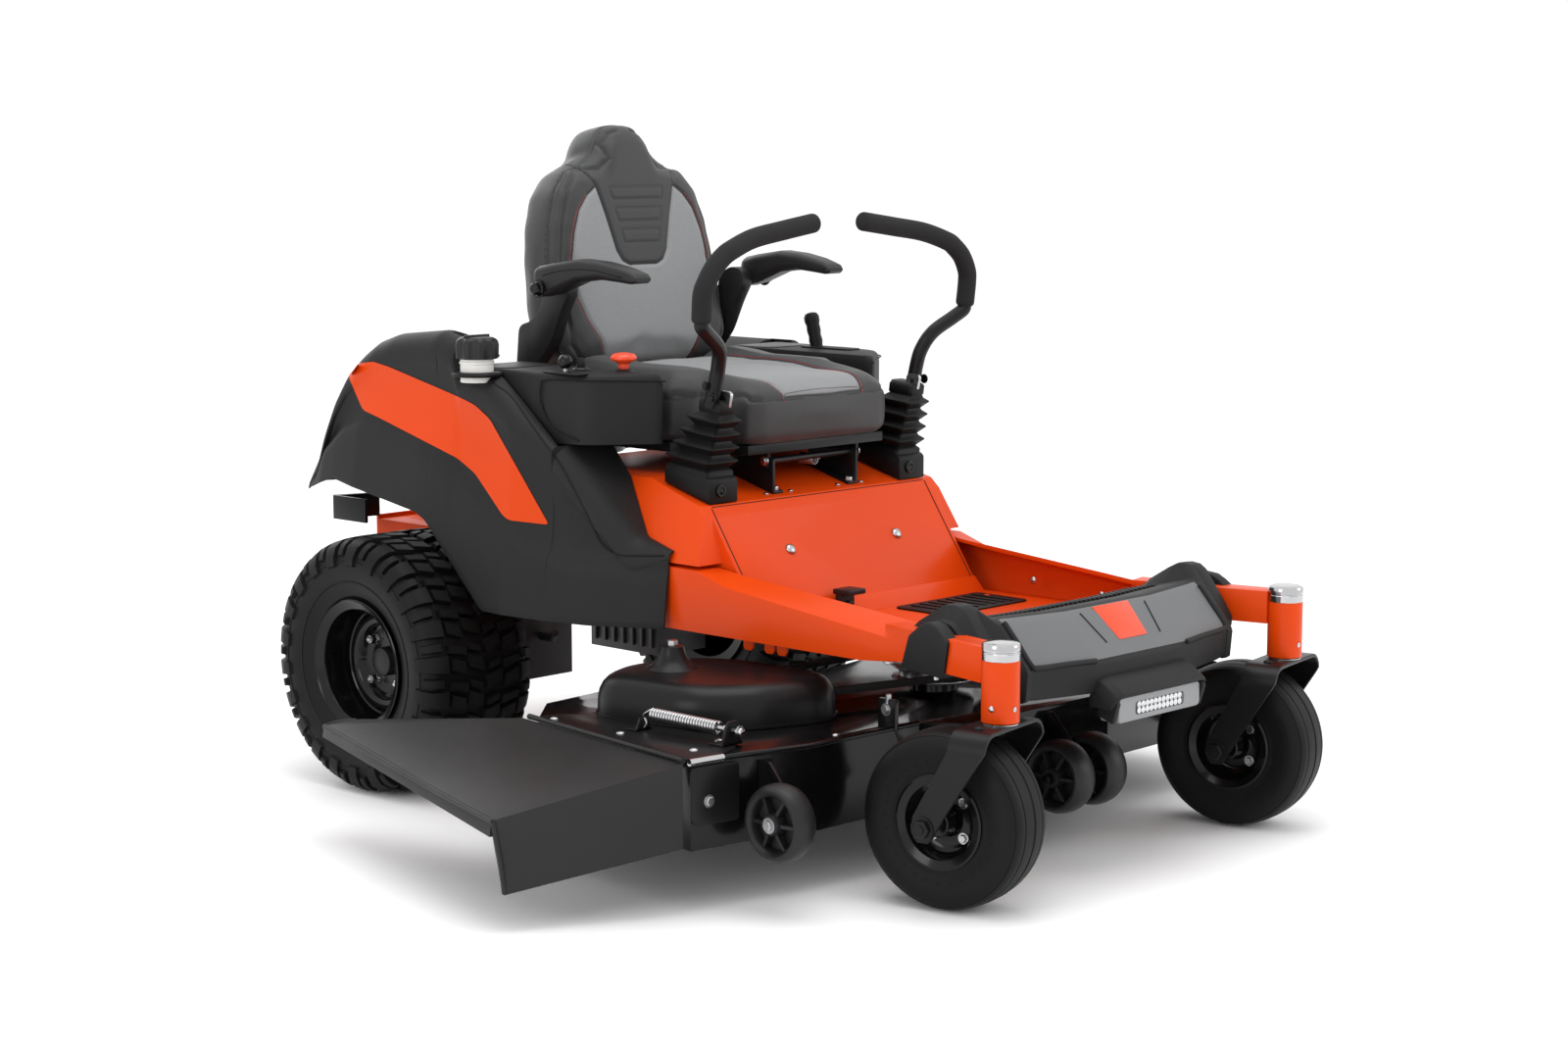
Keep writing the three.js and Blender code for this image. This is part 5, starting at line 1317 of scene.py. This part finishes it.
def backrest():
    full = mirrored_outline(BACK_HALF)
    middle = Vector((0, 960))

    def loop(lift, shrink):
        made = []
        for x, s in full:
            to = Vector((x, s)) - middle
            p = middle + to * (1 - shrink / max(to.length, 1))
            made.append(tuple(on_back(p.x, p.y, lift)))
        return made
    rows = [loop(-118, 34), loop(-114, 16), loop(-104, 5), loop(-90, 1), loop(-40, 0), loop(-24, 2), loop(-13, 8),
            loop(-6, 20), loop(-3, 40)]
    made = stuffed("seat_back_look", Shape().add(loft(rows)), [SEAT_FABRIC], "seat", "vinyl", ["seat_back"], 0.0052,
                   0.009)
    mesh = made.data
    places = millimetres(mesh)
    down = np.array([0, -math.sin(BACK_LEAN), -math.cos(BACK_LEAN)])
    out = np.array([0, -math.cos(BACK_LEAN), math.sin(BACK_LEAN)])
    from_top = places - np.array([0, BACK_Y, BACK_TOP])
    flat = np.stack([places[:, 0], BACK_TOP - from_top @ down], 1)
    depth = BACK_DEPTH / 2 - from_top @ out
    front = depth < 34
    half = np.stack([np.abs(flat[:, 0]), flat[:, 1]], 1)
    light = BACK_LIGHT + [(0, 690), (0, 909)] + BACK_PANEL[::-1]
    light_in = signed(half, light)
    seam = np.full(len(places), 50.0)
    for path in (BACK_PANEL + [(0, 909)], BACK_LIGHT, [(96, 1052), (112, 1104)]):
        seam = np.minimum(seam, distances(half, path, False))
    rim = distances(half, [(x - 24 if x > 60 else x, s - (22 if s > 1100 else 0)) for x, s in BACK_HALF[1:]], False)
    seam = np.where(front, np.minimum(seam, rim), 50)
    welt = np.abs(depth - 30)
    seam = np.minimum(seam, np.where((depth > 20) & (depth < 40), welt, 50))
    marks = np.full(len(places), 50.0)
    inner = np.full(len(places), -50.0)
    for low, high, a, b in ((1028, 1048, 60, 66), (988, 1010, 51, 57), (949, 971, 42, 47)):
        path = [(-a, low), (a, low), (b, high), (-b, high)]
        marks = np.minimum(marks, distances(flat, path))
        inner = np.maximum(inner, signed(flat, path))
    marks = np.where(front, marks, 50)
    pressed(made, 4.2 * np.exp(-(seam / 3.4) ** 2) + 1.8 * np.exp(-(marks / 2.4) ** 2)
            - np.where(front, 5.0 * np.clip(-light_in / 30, 0, 1) * np.clip((half[:, 0] - 90) / 50, 0, 1), 0)
            - np.where(front & (inner > 0), 0.8, 0))
    store(mesh, "panel", np.where(front, light_in, -50) / 1000)
    # The seam distances also darken the fabric in the pressed grooves: painted shade.
    store(mesh, "seam", np.minimum(seam, marks + 0.5) / 1000)
    toward = -Vector((0, -math.cos(BACK_LEAN), math.sin(BACK_LEAN)))
    red, dark = [], []
    for sign in (-1, 1):
        outside = [(x + 3.4, s + 0.6) for x, s in BACK_LIGHT[1:]]
        red.append([on_back(sign * x, s, 8) for x, s in spline_flat(outside)])
        dark.append([on_back(sign * (x - 3.2), s - 1.0, 8) for x, s in spline_flat(BACK_PANEL)])
    dark.append([on_back(x, 912.4, 8) for x in (-32, 32)])
    stitches("back_red_stitching", made, red, toward, RED_THREAD, "seat")
    stitches("back_stitching", made, dark, toward, THREAD, "seat")


def spline_flat(points):
    return [(p.x, p.y) for p in spline([(x, s, 0) for x, s in points], 5)]


CUSHION_HALF = [(60, -638), (150, -634), (178, -618), (188, -560), (193, -506), (232, -468), (236, -220), (204, -177),
                (80, -176)]
CUSHION_LIGHT = [(96, -622), (104, -606), (110, -570), (116, -500), (128, -430), (132, -360), (128, -300), (118,
        -240)]


def cushion():
    plan = mirrored_outline(CUSHION_HALF)
    middle = Vector((0, -410))

    def loop(z, shrink):
        made = []
        for x, y in plan:
            to = Vector((x, y)) - middle
            p = middle + to * (1 - shrink / max(to.length, 1))
            made.append((p.x, p.y, z))
        return made
    rows = [loop(635.6, 16), loop(637, 6), loop(644, 1), loop(680, 0), loop(704, 1), loop(715, 5), loop(722, 12),
            loop(726, 24), loop(730, 46)]
    made = stuffed("seat_cushion_look", Shape().add(loft(rows)), [SEAT_FABRIC], "seat", "vinyl", ["seat_cushion"],
                   0.0055, 0.009)
    mesh = made.data
    places = millimetres(mesh)
    flat = places[:, :2]
    half = np.stack([np.abs(flat[:, 0]), flat[:, 1]], 1)
    above = places[:, 2] > 708
    light = CUSHION_LIGHT + [(0, -240), (0, -622)]
    light_in = signed(half, light)
    edge = distances(half, CUSHION_HALF, False)
    inside = np.where(enclosed(half, CUSHION_HALF + [(0, -176), (0, -638)]), edge, 0)
    seam = np.where(above, distances(half, CUSHION_LIGHT, False), 50)
    seam = np.minimum(seam, np.where(above, distances(half, [(96, -622), (0, -624)], False), 50))
    seam = np.minimum(seam, np.where(above & (places[:, 2] < 731), np.abs(inside - 12), 50))
    corner = np.where(places[:, 2] < 716, np.hypot(half[:, 0] - 168, half[:, 1] + 628), 50)
    seam = np.minimum(seam, np.where((places[:, 2] > 646) & (places[:, 2] < 720), corner, 50))
    bolster = np.clip((half[:, 0] - 112) / 36, 0, 1) * np.clip((half[:, 1] + 610) / 120, 0, 1) * np.clip(inside / 46,
            0, 1)
    rear = np.clip((flat[:, 1] + 330) / 120, 0, 1) * np.clip(inside / 40, 0, 1)
    pressed(made, 3.8 * np.exp(-(seam / 3.2) ** 2) - np.where(above,
                                                              16.0 * bolster + 12 * rear + 4 * np.clip(inside / 90, 0,
                                                                      1), 0))
    low = millimetres(mesh)
    low[:, 2] = np.clip(low[:, 2], 635.4, None)
    mesh.vertices.foreach_set("co", (low / 1000 + np.array(ORIGIN)).ravel())
    mesh.update()
    store(mesh, "panel", np.where(above, light_in, -50) / 1000)
    # The seam distances also darken the fabric in the pressed grooves: painted shade.
    store(mesh, "seam", seam / 1000)
    red = [[(sign * (x + 3.2), y, 760) for x, y in spline_flat(CUSHION_LIGHT)] for sign in (-1, 1)]
    stitches("cushion_red_stitching", made, red, (0, 0, -1), RED_THREAD, "seat")
    dark = [[(x, -618.4, 760) for x in (-92, 92)]]
    stitches("cushion_stitching", made, dark, (0, 0, -1), THREAD, "seat")


def seat_frame():
    refined("seat_pan", [SATIN_BLACK], "seat", "black_steel", 1.2, ceiling=700)
    refined("seat_bracket", [SATIN_BLACK], "chassis", "black_steel", 1.2)
    shape = Shape()
    for sign in (-1, 1):
        for y, z in ((-592, 603), (-500, 597)):
            bolt(shape, (sign * 115.2, y, z), (sign, 0, 0), 6.5)
        for y in (-594, -498):
            z = 543 + (y + 615) * 37 / 135
            bolt(shape, (sign * 94, y, z + 5.4), (0, -0.26, 0.96), 6.5)
    piece("bracket_bolts", shape, [STEEL], "chassis", "steel", angle=30)
    shape = Shape()
    coil = [(40 + 9 * math.cos(t), -540 + 0.55 * (t - 40) * 1.2,
             592 + 9 * math.sin(t)) for t in (k * 0.4 for k in range(140))]
    shape.add(tube(coil, 1.3, 8))
    piece("seat_spring", shape, [STEEL], "chassis", "steel", angle=60)
    shape = Shape()
    for sign in (-1, 1):
        ear = rounded([(-84, 742), (-132, 738), (-178, 790), (-205, 846), (-226, 880), (-222, 906), (-190, 912),
                       (-164, 896),
                       (-150, 850), (-124, 826), (-92, 818)], 14)
        shape.add(prism(ear, "x", sign * 206, sign * 231.5))
        low = [(-292, 634), (-120, 634), (-112, 700), (-150, 716), (-262, 700)]
        shape.add(prism(low, "x", sign * 244, sign * 249))
    piece("seat_side_plates", shape, [BLACK_PLASTIC], "seat", "black_steel", bevel=4.0, turn=50)


def armrest(side, sign):
    top = [(-186, 918), (-190, 925), (-200, 928.6), (-230, 934), (-292, 942.4), (-340, 939), (-385, 931), (-410,
            924.6), (-422, 920),
           (-428, 914)]
    low = [(-186, 880), (-190, 875.6), (-200, 874), (-230, 881), (-292, 903), (-340, 908.6), (-385, 905.6), (-410,
            903), (-422, 904),
           (-428, 908)]
    loops = []
    for (y, z1), (_, z0) in zip(top, low):
        centre = sign * (272 + 0.07 * y)
        share = 1 if -410 < y < -190 else 0.86 if -424 < y < -187 else 0.7
        points = ring(50 * share, z1 - z0, min(13, (z1 - z0) * 0.42), 5, (centre, (z0 + z1) / 2))
        loops.append([(x, y, z) for x, z in points])
    shape = Shape().add(loft(loops))
    piece(f"armrest_look_{side}", shape, [BLACK_PLASTIC], f"armrest_{side}", "black_plastic", [f"armrest_{side}"],
          angle=34)
    shape = Shape()
    outer = sign * (272 - 14 + 25.5)
    knob = [(0, 0), (13.5, 0), (13.5, 3), (11, 5), (11, 12), (8.6, 14), (0, 14)]
    shape.add(lathe(knob, (outer - sign * 1.5, -206, 889), (sign, 0, 0), 12))
    shape.add(lathe([(0, 0), (16, 0), (16, 2), (0, 2)], (outer - sign * 1.5, -206, 889), (sign, 0, 0), 32))
    line = [(outer - sign * 0.9 + sign * 0.07 * (y + 206), y, z) for y, z in ((-214, 912), (-260, 922), (-330, 925),
            (-400, 914))]
    shape.add(tube(spline(line, 6), 0.9, 8))
    piece(f"armrest_knob_{side}", shape, [GLOSS_BLACK], f"armrest_{side}", "black_plastic", angle=30)


# ---------------------------------------------------------------- levers
LEVER_LOW = [(256, -602, 707), (254, -611, 742), (256, -621, 775), (270, -636, 806), (308, -650, 831), (329, -657,
        845), (331, -658, 856)]
GRIP_PATH = [(332, -658.5, 858), (333, -662, 896), (328, -665, 915), (312, -667, 940), (291, -667, 958), (270, -667,
        969),
             (214, -661, 986), (140, -657, 997), (64, -655.2, 1007.5)]


def lever(side, sign):
    body = f"lever_{side}"
    low = [(sign * x, y, z) for x, y, z in LEVER_LOW]
    shape = Shape().add(tube(spline(low, 8), 12.5, 24))
    piece(f"lever_look_{side}", shape, [SATIN_BLACK], body, "black_steel", [f"lever_{side}"], angle=50)
    shape = Shape()
    for y in (-618, -604):
        bolt(shape, (sign * 267.6, y, 722 if y < -610 else 742), (sign, 0, 0), 6.2)
    piece(f"lever_bolts_{side}", shape, [SATIN_BLACK], body, "steel", angle=30)
    path = spline([(sign * x, y, z) for x, y, z in GRIP_PATH], 6)
    shape = Shape().add(tube(path, 16.6, 28, 0.42))
    piece(f"grip_look_{side}", shape, [FOAM], body, "foam", [f"grip_{side}"], angle=60)
    base = f"lever_base_{side}"
    x = sign * 238
    lean = Vector((0, -50, 236)).normalized()
    start = Vector((x, -572, 500))
    shape = Shape()
    cross = Vector((0, -lean.z, lean.y))
    def on_plate(u, v, w):
        return start + lean * u + cross * v + Vector((w, 0, 0))
    outline = rounded([(190, -13), (236, -15), (240, 15), (190, 13)], 9)
    shape.add(loft([[on_plate(u, v, w) for u, v in outline] for w in (-3, 3)]))
    # A near-black sheet on each face of the plate where its slot runs: painted shade for the opening.
    slot_shade = ring(34, 7.6, 3.6, 5, (212, 0))
    for w in (-3.12, 3.12):
        shape.add(loft([[on_plate(u, v, w - 0.15) for u, v in slot_shade], [on_plate(u, v, w + 0.15) for u,
                v in slot_shade]]), 1)
    shape.add(lathe([(0, -16), (17, -16), (17, 16), (0, 16)], start, (1, 0, 0), 40), 0)
    piece(f"lever_plate_look_{side}", shape, [STEEL, RUBBER_AND_GAP_SHADE], base, "steel", [f"lever_plate_{side}"], angle=30)
    boot(side, sign)


def boot(side, sign):
    def row(w, d, z, middle, round_=6):
        return [(sign * px, py, z + (py - middle) * 0.1) for px, py in ring(2 * w, 2 * d, round_, 4, (239, middle))]
    loops = [row(33, 49, 590, -560), row(33, 49, 601, -560), row(30, 46, 604, -560)]
    for i in range(4):
        z, middle = 606 + i * 22.5, -562 - i * 10
        w, d = 27 - i * 2.4, 42 - i * 4.4
        loops += [row(w, d, z, middle), row(w + 7, d + 7, z + 8.4, middle - 2), row(w + 10.4, d + 10.4, z + 11.4,
                middle - 2, 7),
                  row(w + 10.4, d + 10.4, z + 13.6, middle - 2, 7), row(w + 1.4, d + 1.0, z + 18.6, middle - 5)]
    loops += [row(18, 26, 697, -601), row(19.6, 27.5, 699, -601), row(19.6, 27.5, 713, -603), row(18, 26, 716, -603),
              row(15, 24, 719, -601)]
    shape = Shape().add(loft(loops))
    made = piece(f"boot_look_{side}", shape, [RUBBER_AND_GAP_SHADE], None, "rubber", [f"boot_{side}"], angle=46)
    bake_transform(made)
    shape = Shape()
    foot = [(-616, 544), (-616, 583), (-610, 589), (-518, 600.6), (-508, 596), (-508, 574)]
    shape.add(prism(foot, "x", sign * 239 - 34, sign * 239 + 34))
    piece(f"boot_base_{side}", shape, [RUBBER_AND_GAP_SHADE], "chassis", "rubber", bevel=3.0, turn=20)
    shape = Shape()
    spot = (sign * 239 - 8, -616.4, 566)
    shape.add(lathe([(5.6, -2), (11, -2), (11, 2.4), (9.6, 3.6), (6.2, 3.6), (5.6, 2)], spot, (0, -1, 0), 32), 0)
    shape.add(lathe([(0, -2), (5.2, -2), (5.2, 2.6), (0, 3.2)], spot, (0, -1, 0), 6), 0)
    piece(f"boot_bolt_{side}", shape, [GLOSS_BLACK], "chassis", "rubber", angle=30)


# ---------------------------------------------------------------- cutting deck
def deck():
    refined("deck_shell", [GLOSS_BLACK], "deck", "black_steel", 2.2, segments=3)
    shape = Shape()
    shape.add(tube([(-702, -1003, 234.6), (-640, -1011.6, 234.6)], 5.6, 16), 1)
    lip = [(-640, -1011.6, 233.6), (-606, -1016, 233.6), (-496, -1048, 233.6), (-244, -1054, 233.6)]
    shape.add(tube(lip, 4.4, 12))
    shape.add(tube([(-x, y, z) for x, y, z in [(-606, -1016, 233.6), (-496, -1048, 233.6), (-244, -1054, 233.6)]],
                   4.4, 12))
    piece("deck_lip", shape, [GLOSS_BLACK, CHROME], "deck", "black_steel", angle=60)
    shape = Shape()
    plate = rounded([(-632, -584), (-694, -996), (-640, -1000), (-566, -972), (-536, -900), (-566, -640), (-600,
            -590)], 22)
    shape.add(prism(plate, "z", 232.2, 235.4))
    piece("chute_plate", shape, [SATIN_BLACK], "deck", "black_steel", bevel=0.8)
    shape = Shape()
    for x, y in ((-628, -622), (-632, -780), (-566, -930), (-640, -950), (-588, -780)):
        dome(shape, (x, y, 235.4), (0, 0, 1), 7)
    for x, y in ((-400, -1020), (520, -1000), (300, -1000)):
        dome(shape, (x, y, 232.3), (0, 0, 1), 6)
    bolt(shape, (-668, -1009.5, 172), (-0.1, -1, 0), 7.5)
    piece("deck_bolts", shape, [STEEL], "deck", "steel", angle=30)
    shape = Shape()
    side_plate = [(-700, 226), (-612, 226), (-612, 136), (-690, 136), (-700, 146)]
    foot, top = [], []
    for x, z in rounded(side_plate, 8):
        y = -1001.6 + (x + 696) * -0.152
        foot.append((x, y - 1.2, z))
        top.append((x, y - 4.4, z))
    shape.add(loft([foot, top]))
    piece("chute_side_plate", shape, [SATIN_BLACK], "deck", "black_steel", bevel=0.8)
    for side, sign in SIDES:
        plan = rounded([(566, -640), (540, -828), (470, -900), (330, -944), (262, -900), (262, -700), (330, -600),
                        (470, -582)], 70, 9)
        middle = Vector((412, -756))
        rows = []
        for draw, z in ((-3, 233.4), (-3, 237), (0, 238), (1, 262), (3.5, 274), (9, 285), (17, 293), (28, 298), (44,
                300.4), (90, 301)):
            row = []
            for x, y in plan:
                to = Vector((x, y)) - middle
                px, py = middle + to * (1 - draw / to.length)
                row.append((sign * px, py, z))
            rows.append(row)
        piece(f"belt_cover_look_{side}", Shape().add(loft(rows)), [SATIN_BLACK], "deck", "black_steel",
              [f"belt_cover_{side}"],
              angle=40)
        shape = Shape()
        shape.add(lathe([(0, 298), (46, 298), (44, 301), (34, 306), (24, 318), (20, 330), (19, 336), (15, 338), (0,
                338)],
                        (sign * 432, -690, 0), (0, 0, 1), 48), 0)
        shape.add(lathe([(0, 336), (9, 336), (9, 346), (0, 347)], (sign * 432, -690, 0), (0, 0, 1), 6), 1)
        piece(f"belt_cover_cone_{side}", shape, [SATIN_BLACK, STEEL], "deck", "black_steel", angle=34)
    spring()
    for side, sign in SIDES:
        deck_wheel(f"deck_wheel_{side}", sign * 602, -1094, 141, 46, sign)
        deck_wheel(f"front_roller_{side}", sign * 42, -1180, 134, 52, sign)
        blade_and_spindle(side)
    blade_and_spindle("centre")
    refined("deck_belt", [BELT], "deck", "rubber", 1.0, angle=60)


def spring():
    """The coil spring that holds the deflector down, between its two posts."""
    a, b = Vector((-590, -792, 264)), Vector((-572, -968, 258))
    ahead = (b - a).normalized()
    side = Vector((0, 0, 1)) - ahead * ahead.z
    side.normalize()
    third = ahead.cross(side)
    shape = Shape()
    turns, reach = 24, (b - a).length - 46
    coil = []
    for k in range(turns * 12 + 1):
        t = k / (turns * 12)
        angle = 2 * math.pi * turns * t
        coil.append(a + ahead * (16 + reach * t) + (side * math.cos(angle) + third * math.sin(angle)) * 8.6)
    shape.add(tube(coil, 2.3, 8), 0)
    shape.add(tube(spline([a + ahead * 16 + side * 8.6, a + ahead * 6 + side * 3, a + Vector((2, 6, -6)),
                           a + Vector((4, 2, -18)),
                           a + Vector((0, 8, -28))], 6), 2.3, 8), 0)
    shape.add(tube([b - ahead * 34, b + ahead * 16], 4.2, 14), 0)
    bolt(shape, b + ahead * 11, ahead, 7.5, 0)
    bolt(shape, b - ahead * 12, -ahead, 7.5, 0, washer=False)
    piece("deflector_spring", shape, [CHROME], "deck", "steel", angle=60)
    shape = Shape()
    post = [(-594, 235), (-552, 235), (-556, 262), (-562, 273), (-580, 273), (-588, 262)]
    shape.add(prism(post, "y", -966, -961))
    shape.add(block((-596, -966, 235), (-550, -938, 239)))
    shape.add(prism([(-606, 235), (-574, 235), (-580, 252), (-596, 256)], "y", -788, -783))
    shape.add(block((-608, -788, 235), (-572, -764, 239)))
    piece("spring_posts", shape, [SATIN_BLACK], "deck", "black_steel", bevel=1.2)


def deflector():
    refined("chute_deflector", [DEFLECTOR], "deflector", "rubber", 2.6, segments=3, turn=20, angle=34)
    shape = Shape()
    edge = spline([(-955.6, -853, 164), (-900, -652, 170), (-838, -440, 178), (-771, -213, 186)], 6)
    shape.add(tube(edge, 4.2, 14))
    shape.add(tube(spline([(-771, -213, 186), (-744, -211, 188), (-717, -227, 190)], 5), 4.2, 14))
    shape.add(tube([(-955.8, -853, 164), (-954, -868, 100), (-953, -873, 60)], 3.6, 12))
    piece("deflector_edge", shape, [DEFLECTOR], "deflector", "rubber", angle=60)
    axis = Vector((62, 428, 0)).normalized()
    a = Vector((-714, -1002, 231))
    shape = Shape()
    shape.add(tube([a + axis * 4 + Vector((4, 0, 7)), a + axis * 420 + Vector((4, 0, 7))], 4.6, 14))
    piece("deflector_rod", shape, [SATIN_BLACK], "deck", "steel", angle=60)


def deck_wheel(name, x, y, z, width, sign):
    shape = Shape()
    centre, axis = (x, y, z), (sign, 0, 0)
    w = width / 2
    tread = [(44.5, w * 0.84), (48, w * 0.97), (52, w * 0.96), (56, w * 0.8), (58.8, w * 0.5), (60, w * 0.18), (60,
            0)]
    profile = tread + [(r, -a) for r, a in reversed(tread[:-1])]
    inner = [(42.5, -w * 0.7), (41, -3), (41, 3), (42.5, w * 0.7)]
    shape.add(lathe(profile + inner, centre, axis, 72))
    shape.add(lathe([(8.8, -w), (8.8, w), (15, w), (17, w * 0.8), (18.4, 2), (18.4, -2), (17, -w * 0.8), (15, -w)],
                    centre, axis, 40))
    shape.add(lathe([(17, -2.4), (17, 2.4), (44, 2.4), (44, -2.4)], centre, axis, 56))
    for k in range(6):
        angle = 2 * math.pi * (k + 0.5) / 6
        out = Vector((0, math.sin(angle), math.cos(angle)))
        across = Vector((0, math.cos(angle), -math.sin(angle)))
        for face in (-1, 1):
            rib = [(16, 2), (43, 2), (43, w * 0.62), (16, w * 0.78)]
            loops = [[Vector(centre) + out * r + Vector((face * a * sign, 0, 0)) + across * t for r,
                      a in rib] for t in (-2.6, 2.6)]
            shape.add(loft(loops))
    piece(f"look_{name}", shape, [BLACK_PLASTIC], name, "black_plastic", [name], angle=34)
    shape = Shape()
    foot = Vector(centre) + Vector((sign * (w + 0.4), 0, 0))
    if name.startswith("deck_wheel"):
        shape.add(lathe([(0, 0), (12, 0), (12, 1.6), (0, 1.6)], foot, axis, 28))
        bolt(shape, foot + Vector((sign * 0.8, 0, 0)), axis, 8.4, washer=False)
        piece(f"{name}_bolt", shape, [STEEL], "deck", "steel", angle=30)


def blade_and_spindle(side):
    body = f"cutter_{side}"
    refined(f"blade_{side}", [CAST], body, "steel", 0.8)
    refined(f"spindle_{side}", [STEEL], body, "steel", 0.8)


# ---------------------------------------------------------------- engine and drive
def engine():
    refined("engine_block", [BRIGHT_CAST], "chassis", "cast_metal", 2.0)
    refined("engine_shroud", [SATIN_BLACK], "chassis", "black_plastic", 5.0, segments=3, turn=24)
    refined("muffler", [CAST], "chassis", "steel", 3.0, segments=3, turn=40)
    refined("crank_pulley", [STEEL], "crank_pulley", "steel", 0.8)
    shape = Shape()
    for sign in (-1, 1):
        turn = Matrix.Rotation(sign * 0.72, 3, "Z")
        for k in range(9):
            y = 70 + k * 13
            fin = [turn @ Vector((px, py, 0)) + Vector((0, 100, 0)) for px, py in ring(124, 4.4, 2, 2, (0, y))]
            shape.add(loft([[(p.x, p.y, z) for p in fin] for z in (447, 561)]))
        for px in (-34, 34):
            for z in (468, 540):
                spot = turn @ Vector((px, 190, 0)) + Vector((0, 100, z))
                bolt(shape, spot, turn @ Vector((0, 1, 0)), 6.5)
    piece("engine_fins", shape, [BRIGHT_CAST], "chassis", "cast_metal", bevel=0.6)
    shape = Shape()
    for k in range(36):
        angle = 2 * math.pi * k / 36
        out = Vector((math.cos(angle), math.sin(angle), 0))
        across = Vector((-out.y, out.x, 0))
        loops = [[Vector((0, 100, z)) + out * r + across * t for r, t in ((44, -1.3), (90, -2.6), (90, 2.6), (44,
                1.3))] for z in (689.5, 692.4)]
        shape.add(loft(loops), 0)
    shape.add(lathe([(0, 689), (40, 689), (40, 694), (34, 697), (0, 697)], (0, 100, 0), (0, 0, 1), 48), 0)
    for k in range(4):
        angle = math.pi / 4 + k * math.pi / 2
        bolt(shape, (130 * math.cos(angle), 100 + 130 * math.sin(angle), 666), (0, 0, 1), 6.5, 1)
    piece("engine_grille", shape, [BLACK_PLASTIC, STEEL], "chassis", "black_plastic", bevel=0.6)
    shape = Shape()
    for sign in (-1, 1):
        pipe = [(sign * 70, 240, 500), (sign * 96, 290, 486), (sign * 84, 330, 492)]
        shape.add(tube(spline(pipe, 8), 13, 18))
    for x in (-116, 116):
        shape.add(lathe([(40.4, -5), (41.9, -5), (41.9, 5), (40.4, 5)], (x, 350, 500), (1, 0, 0), 48))
    piece("exhaust_pipes", shape, [CAST], "chassis", "steel", angle=40)
    for side, sign in SIDES:
        refined(f"transaxle_{side}", [CAST], "chassis", "cast_metal", 4.0, segments=3, turn=24)
        shape = Shape()
        for k in range(7):
            y = -80 + k * 26
            shape.add(block((min(sign * 104, sign * 112), y, 186), (max(sign * 104, sign * 112), y + 7, 304)))
            shape.add(block((min(sign * 234, sign * 241), y, 192), (max(sign * 234, sign * 241), y + 7, 300)))
        for k in range(6):
            angle = 2 * math.pi * k / 6
            bolt(shape, (sign * 232, 66 * math.cos(angle), TYRE_RADIUS + 66 * math.sin(angle)), (sign, 0, 0), 6.5, 1)
        for k in range(10):
            angle = 2 * math.pi * k / 10
            out = Vector((math.cos(angle), math.sin(angle), 0))
            across = Vector((-out.y, out.x, 0))
            loops = [[Vector((sign * 172, -30, z)) + out * r + across * t for r, t in ((16, -1.5), (62, -1.5), (62,
                    1.5), (16, 1.5))]
                     for z in (337, 341)]
            shape.add(loft(loops), 0)
        shape.add(tube([(sign * 190, -96, 250), (sign * 190, -128, 250), (sign * 196, -140, 262)], 8, 16), 0)
        piece(f"transaxle_ribs_{side}", shape, [CAST, STEEL], "chassis", "cast_metal", bevel=1.0)


def linkage():
    """Rods and brackets between the frame and the deck, which show under the rails."""
    shape = Shape()
    for sign in (-1, 1):
        for y in (-600, -1040):
            shape.add(tube([(sign * 262, y, 362), (sign * 262, y, 344)], 6, 14), 0)
            shape.add(prism([(y - 16, 362), (y + 16, 362), (y + 10, 340), (y - 10, 340)], "x", sign * 268 - 2.5,
                            sign * 268 + 2.5), 1)
    shape.add(tube([(-262, -600, 350), (262, -600, 350)], 9, 18), 1)
    shape.add(tube([(-262, -1040, 346), (262, -1040, 346)], 7, 18), 1)
    piece("lift_shafts", shape, [STEEL, SATIN_BLACK], "chassis", "black_steel", angle=40)
    shape = Shape()
    for sign in (-1, 1):
        for y in (-600, -1040):
            bolt(shape, (sign * 304.4, y, 262), (sign, 0, 0), 7.5)
            shape.add(tube([(sign * 300, y, 262), (sign * 300, y, 286)], 5, 12))
    piece("hanger_bolts", shape, [STEEL], "deck", "steel", angle=30)


set_camera()
set_stage()
for side_name, side_sign in SIDES:
    rear_tyre(side_name, side_sign)
    rear_rim(side_name, side_sign)
    caster(side_name, side_sign)
    frame_side(side_name, side_sign)
    fender(side_name, side_sign)
    console(side_name, side_sign)
    armrest(side_name, side_sign)
    lever(side_name, side_sign)
rear_frame()
seat_box()
floor_pan()
foot_plate()
light_bar()
fuel_cap()
knobs()
seat_frame()
backrest()
cushion()
deck()
deflector()
engine()
linkage()
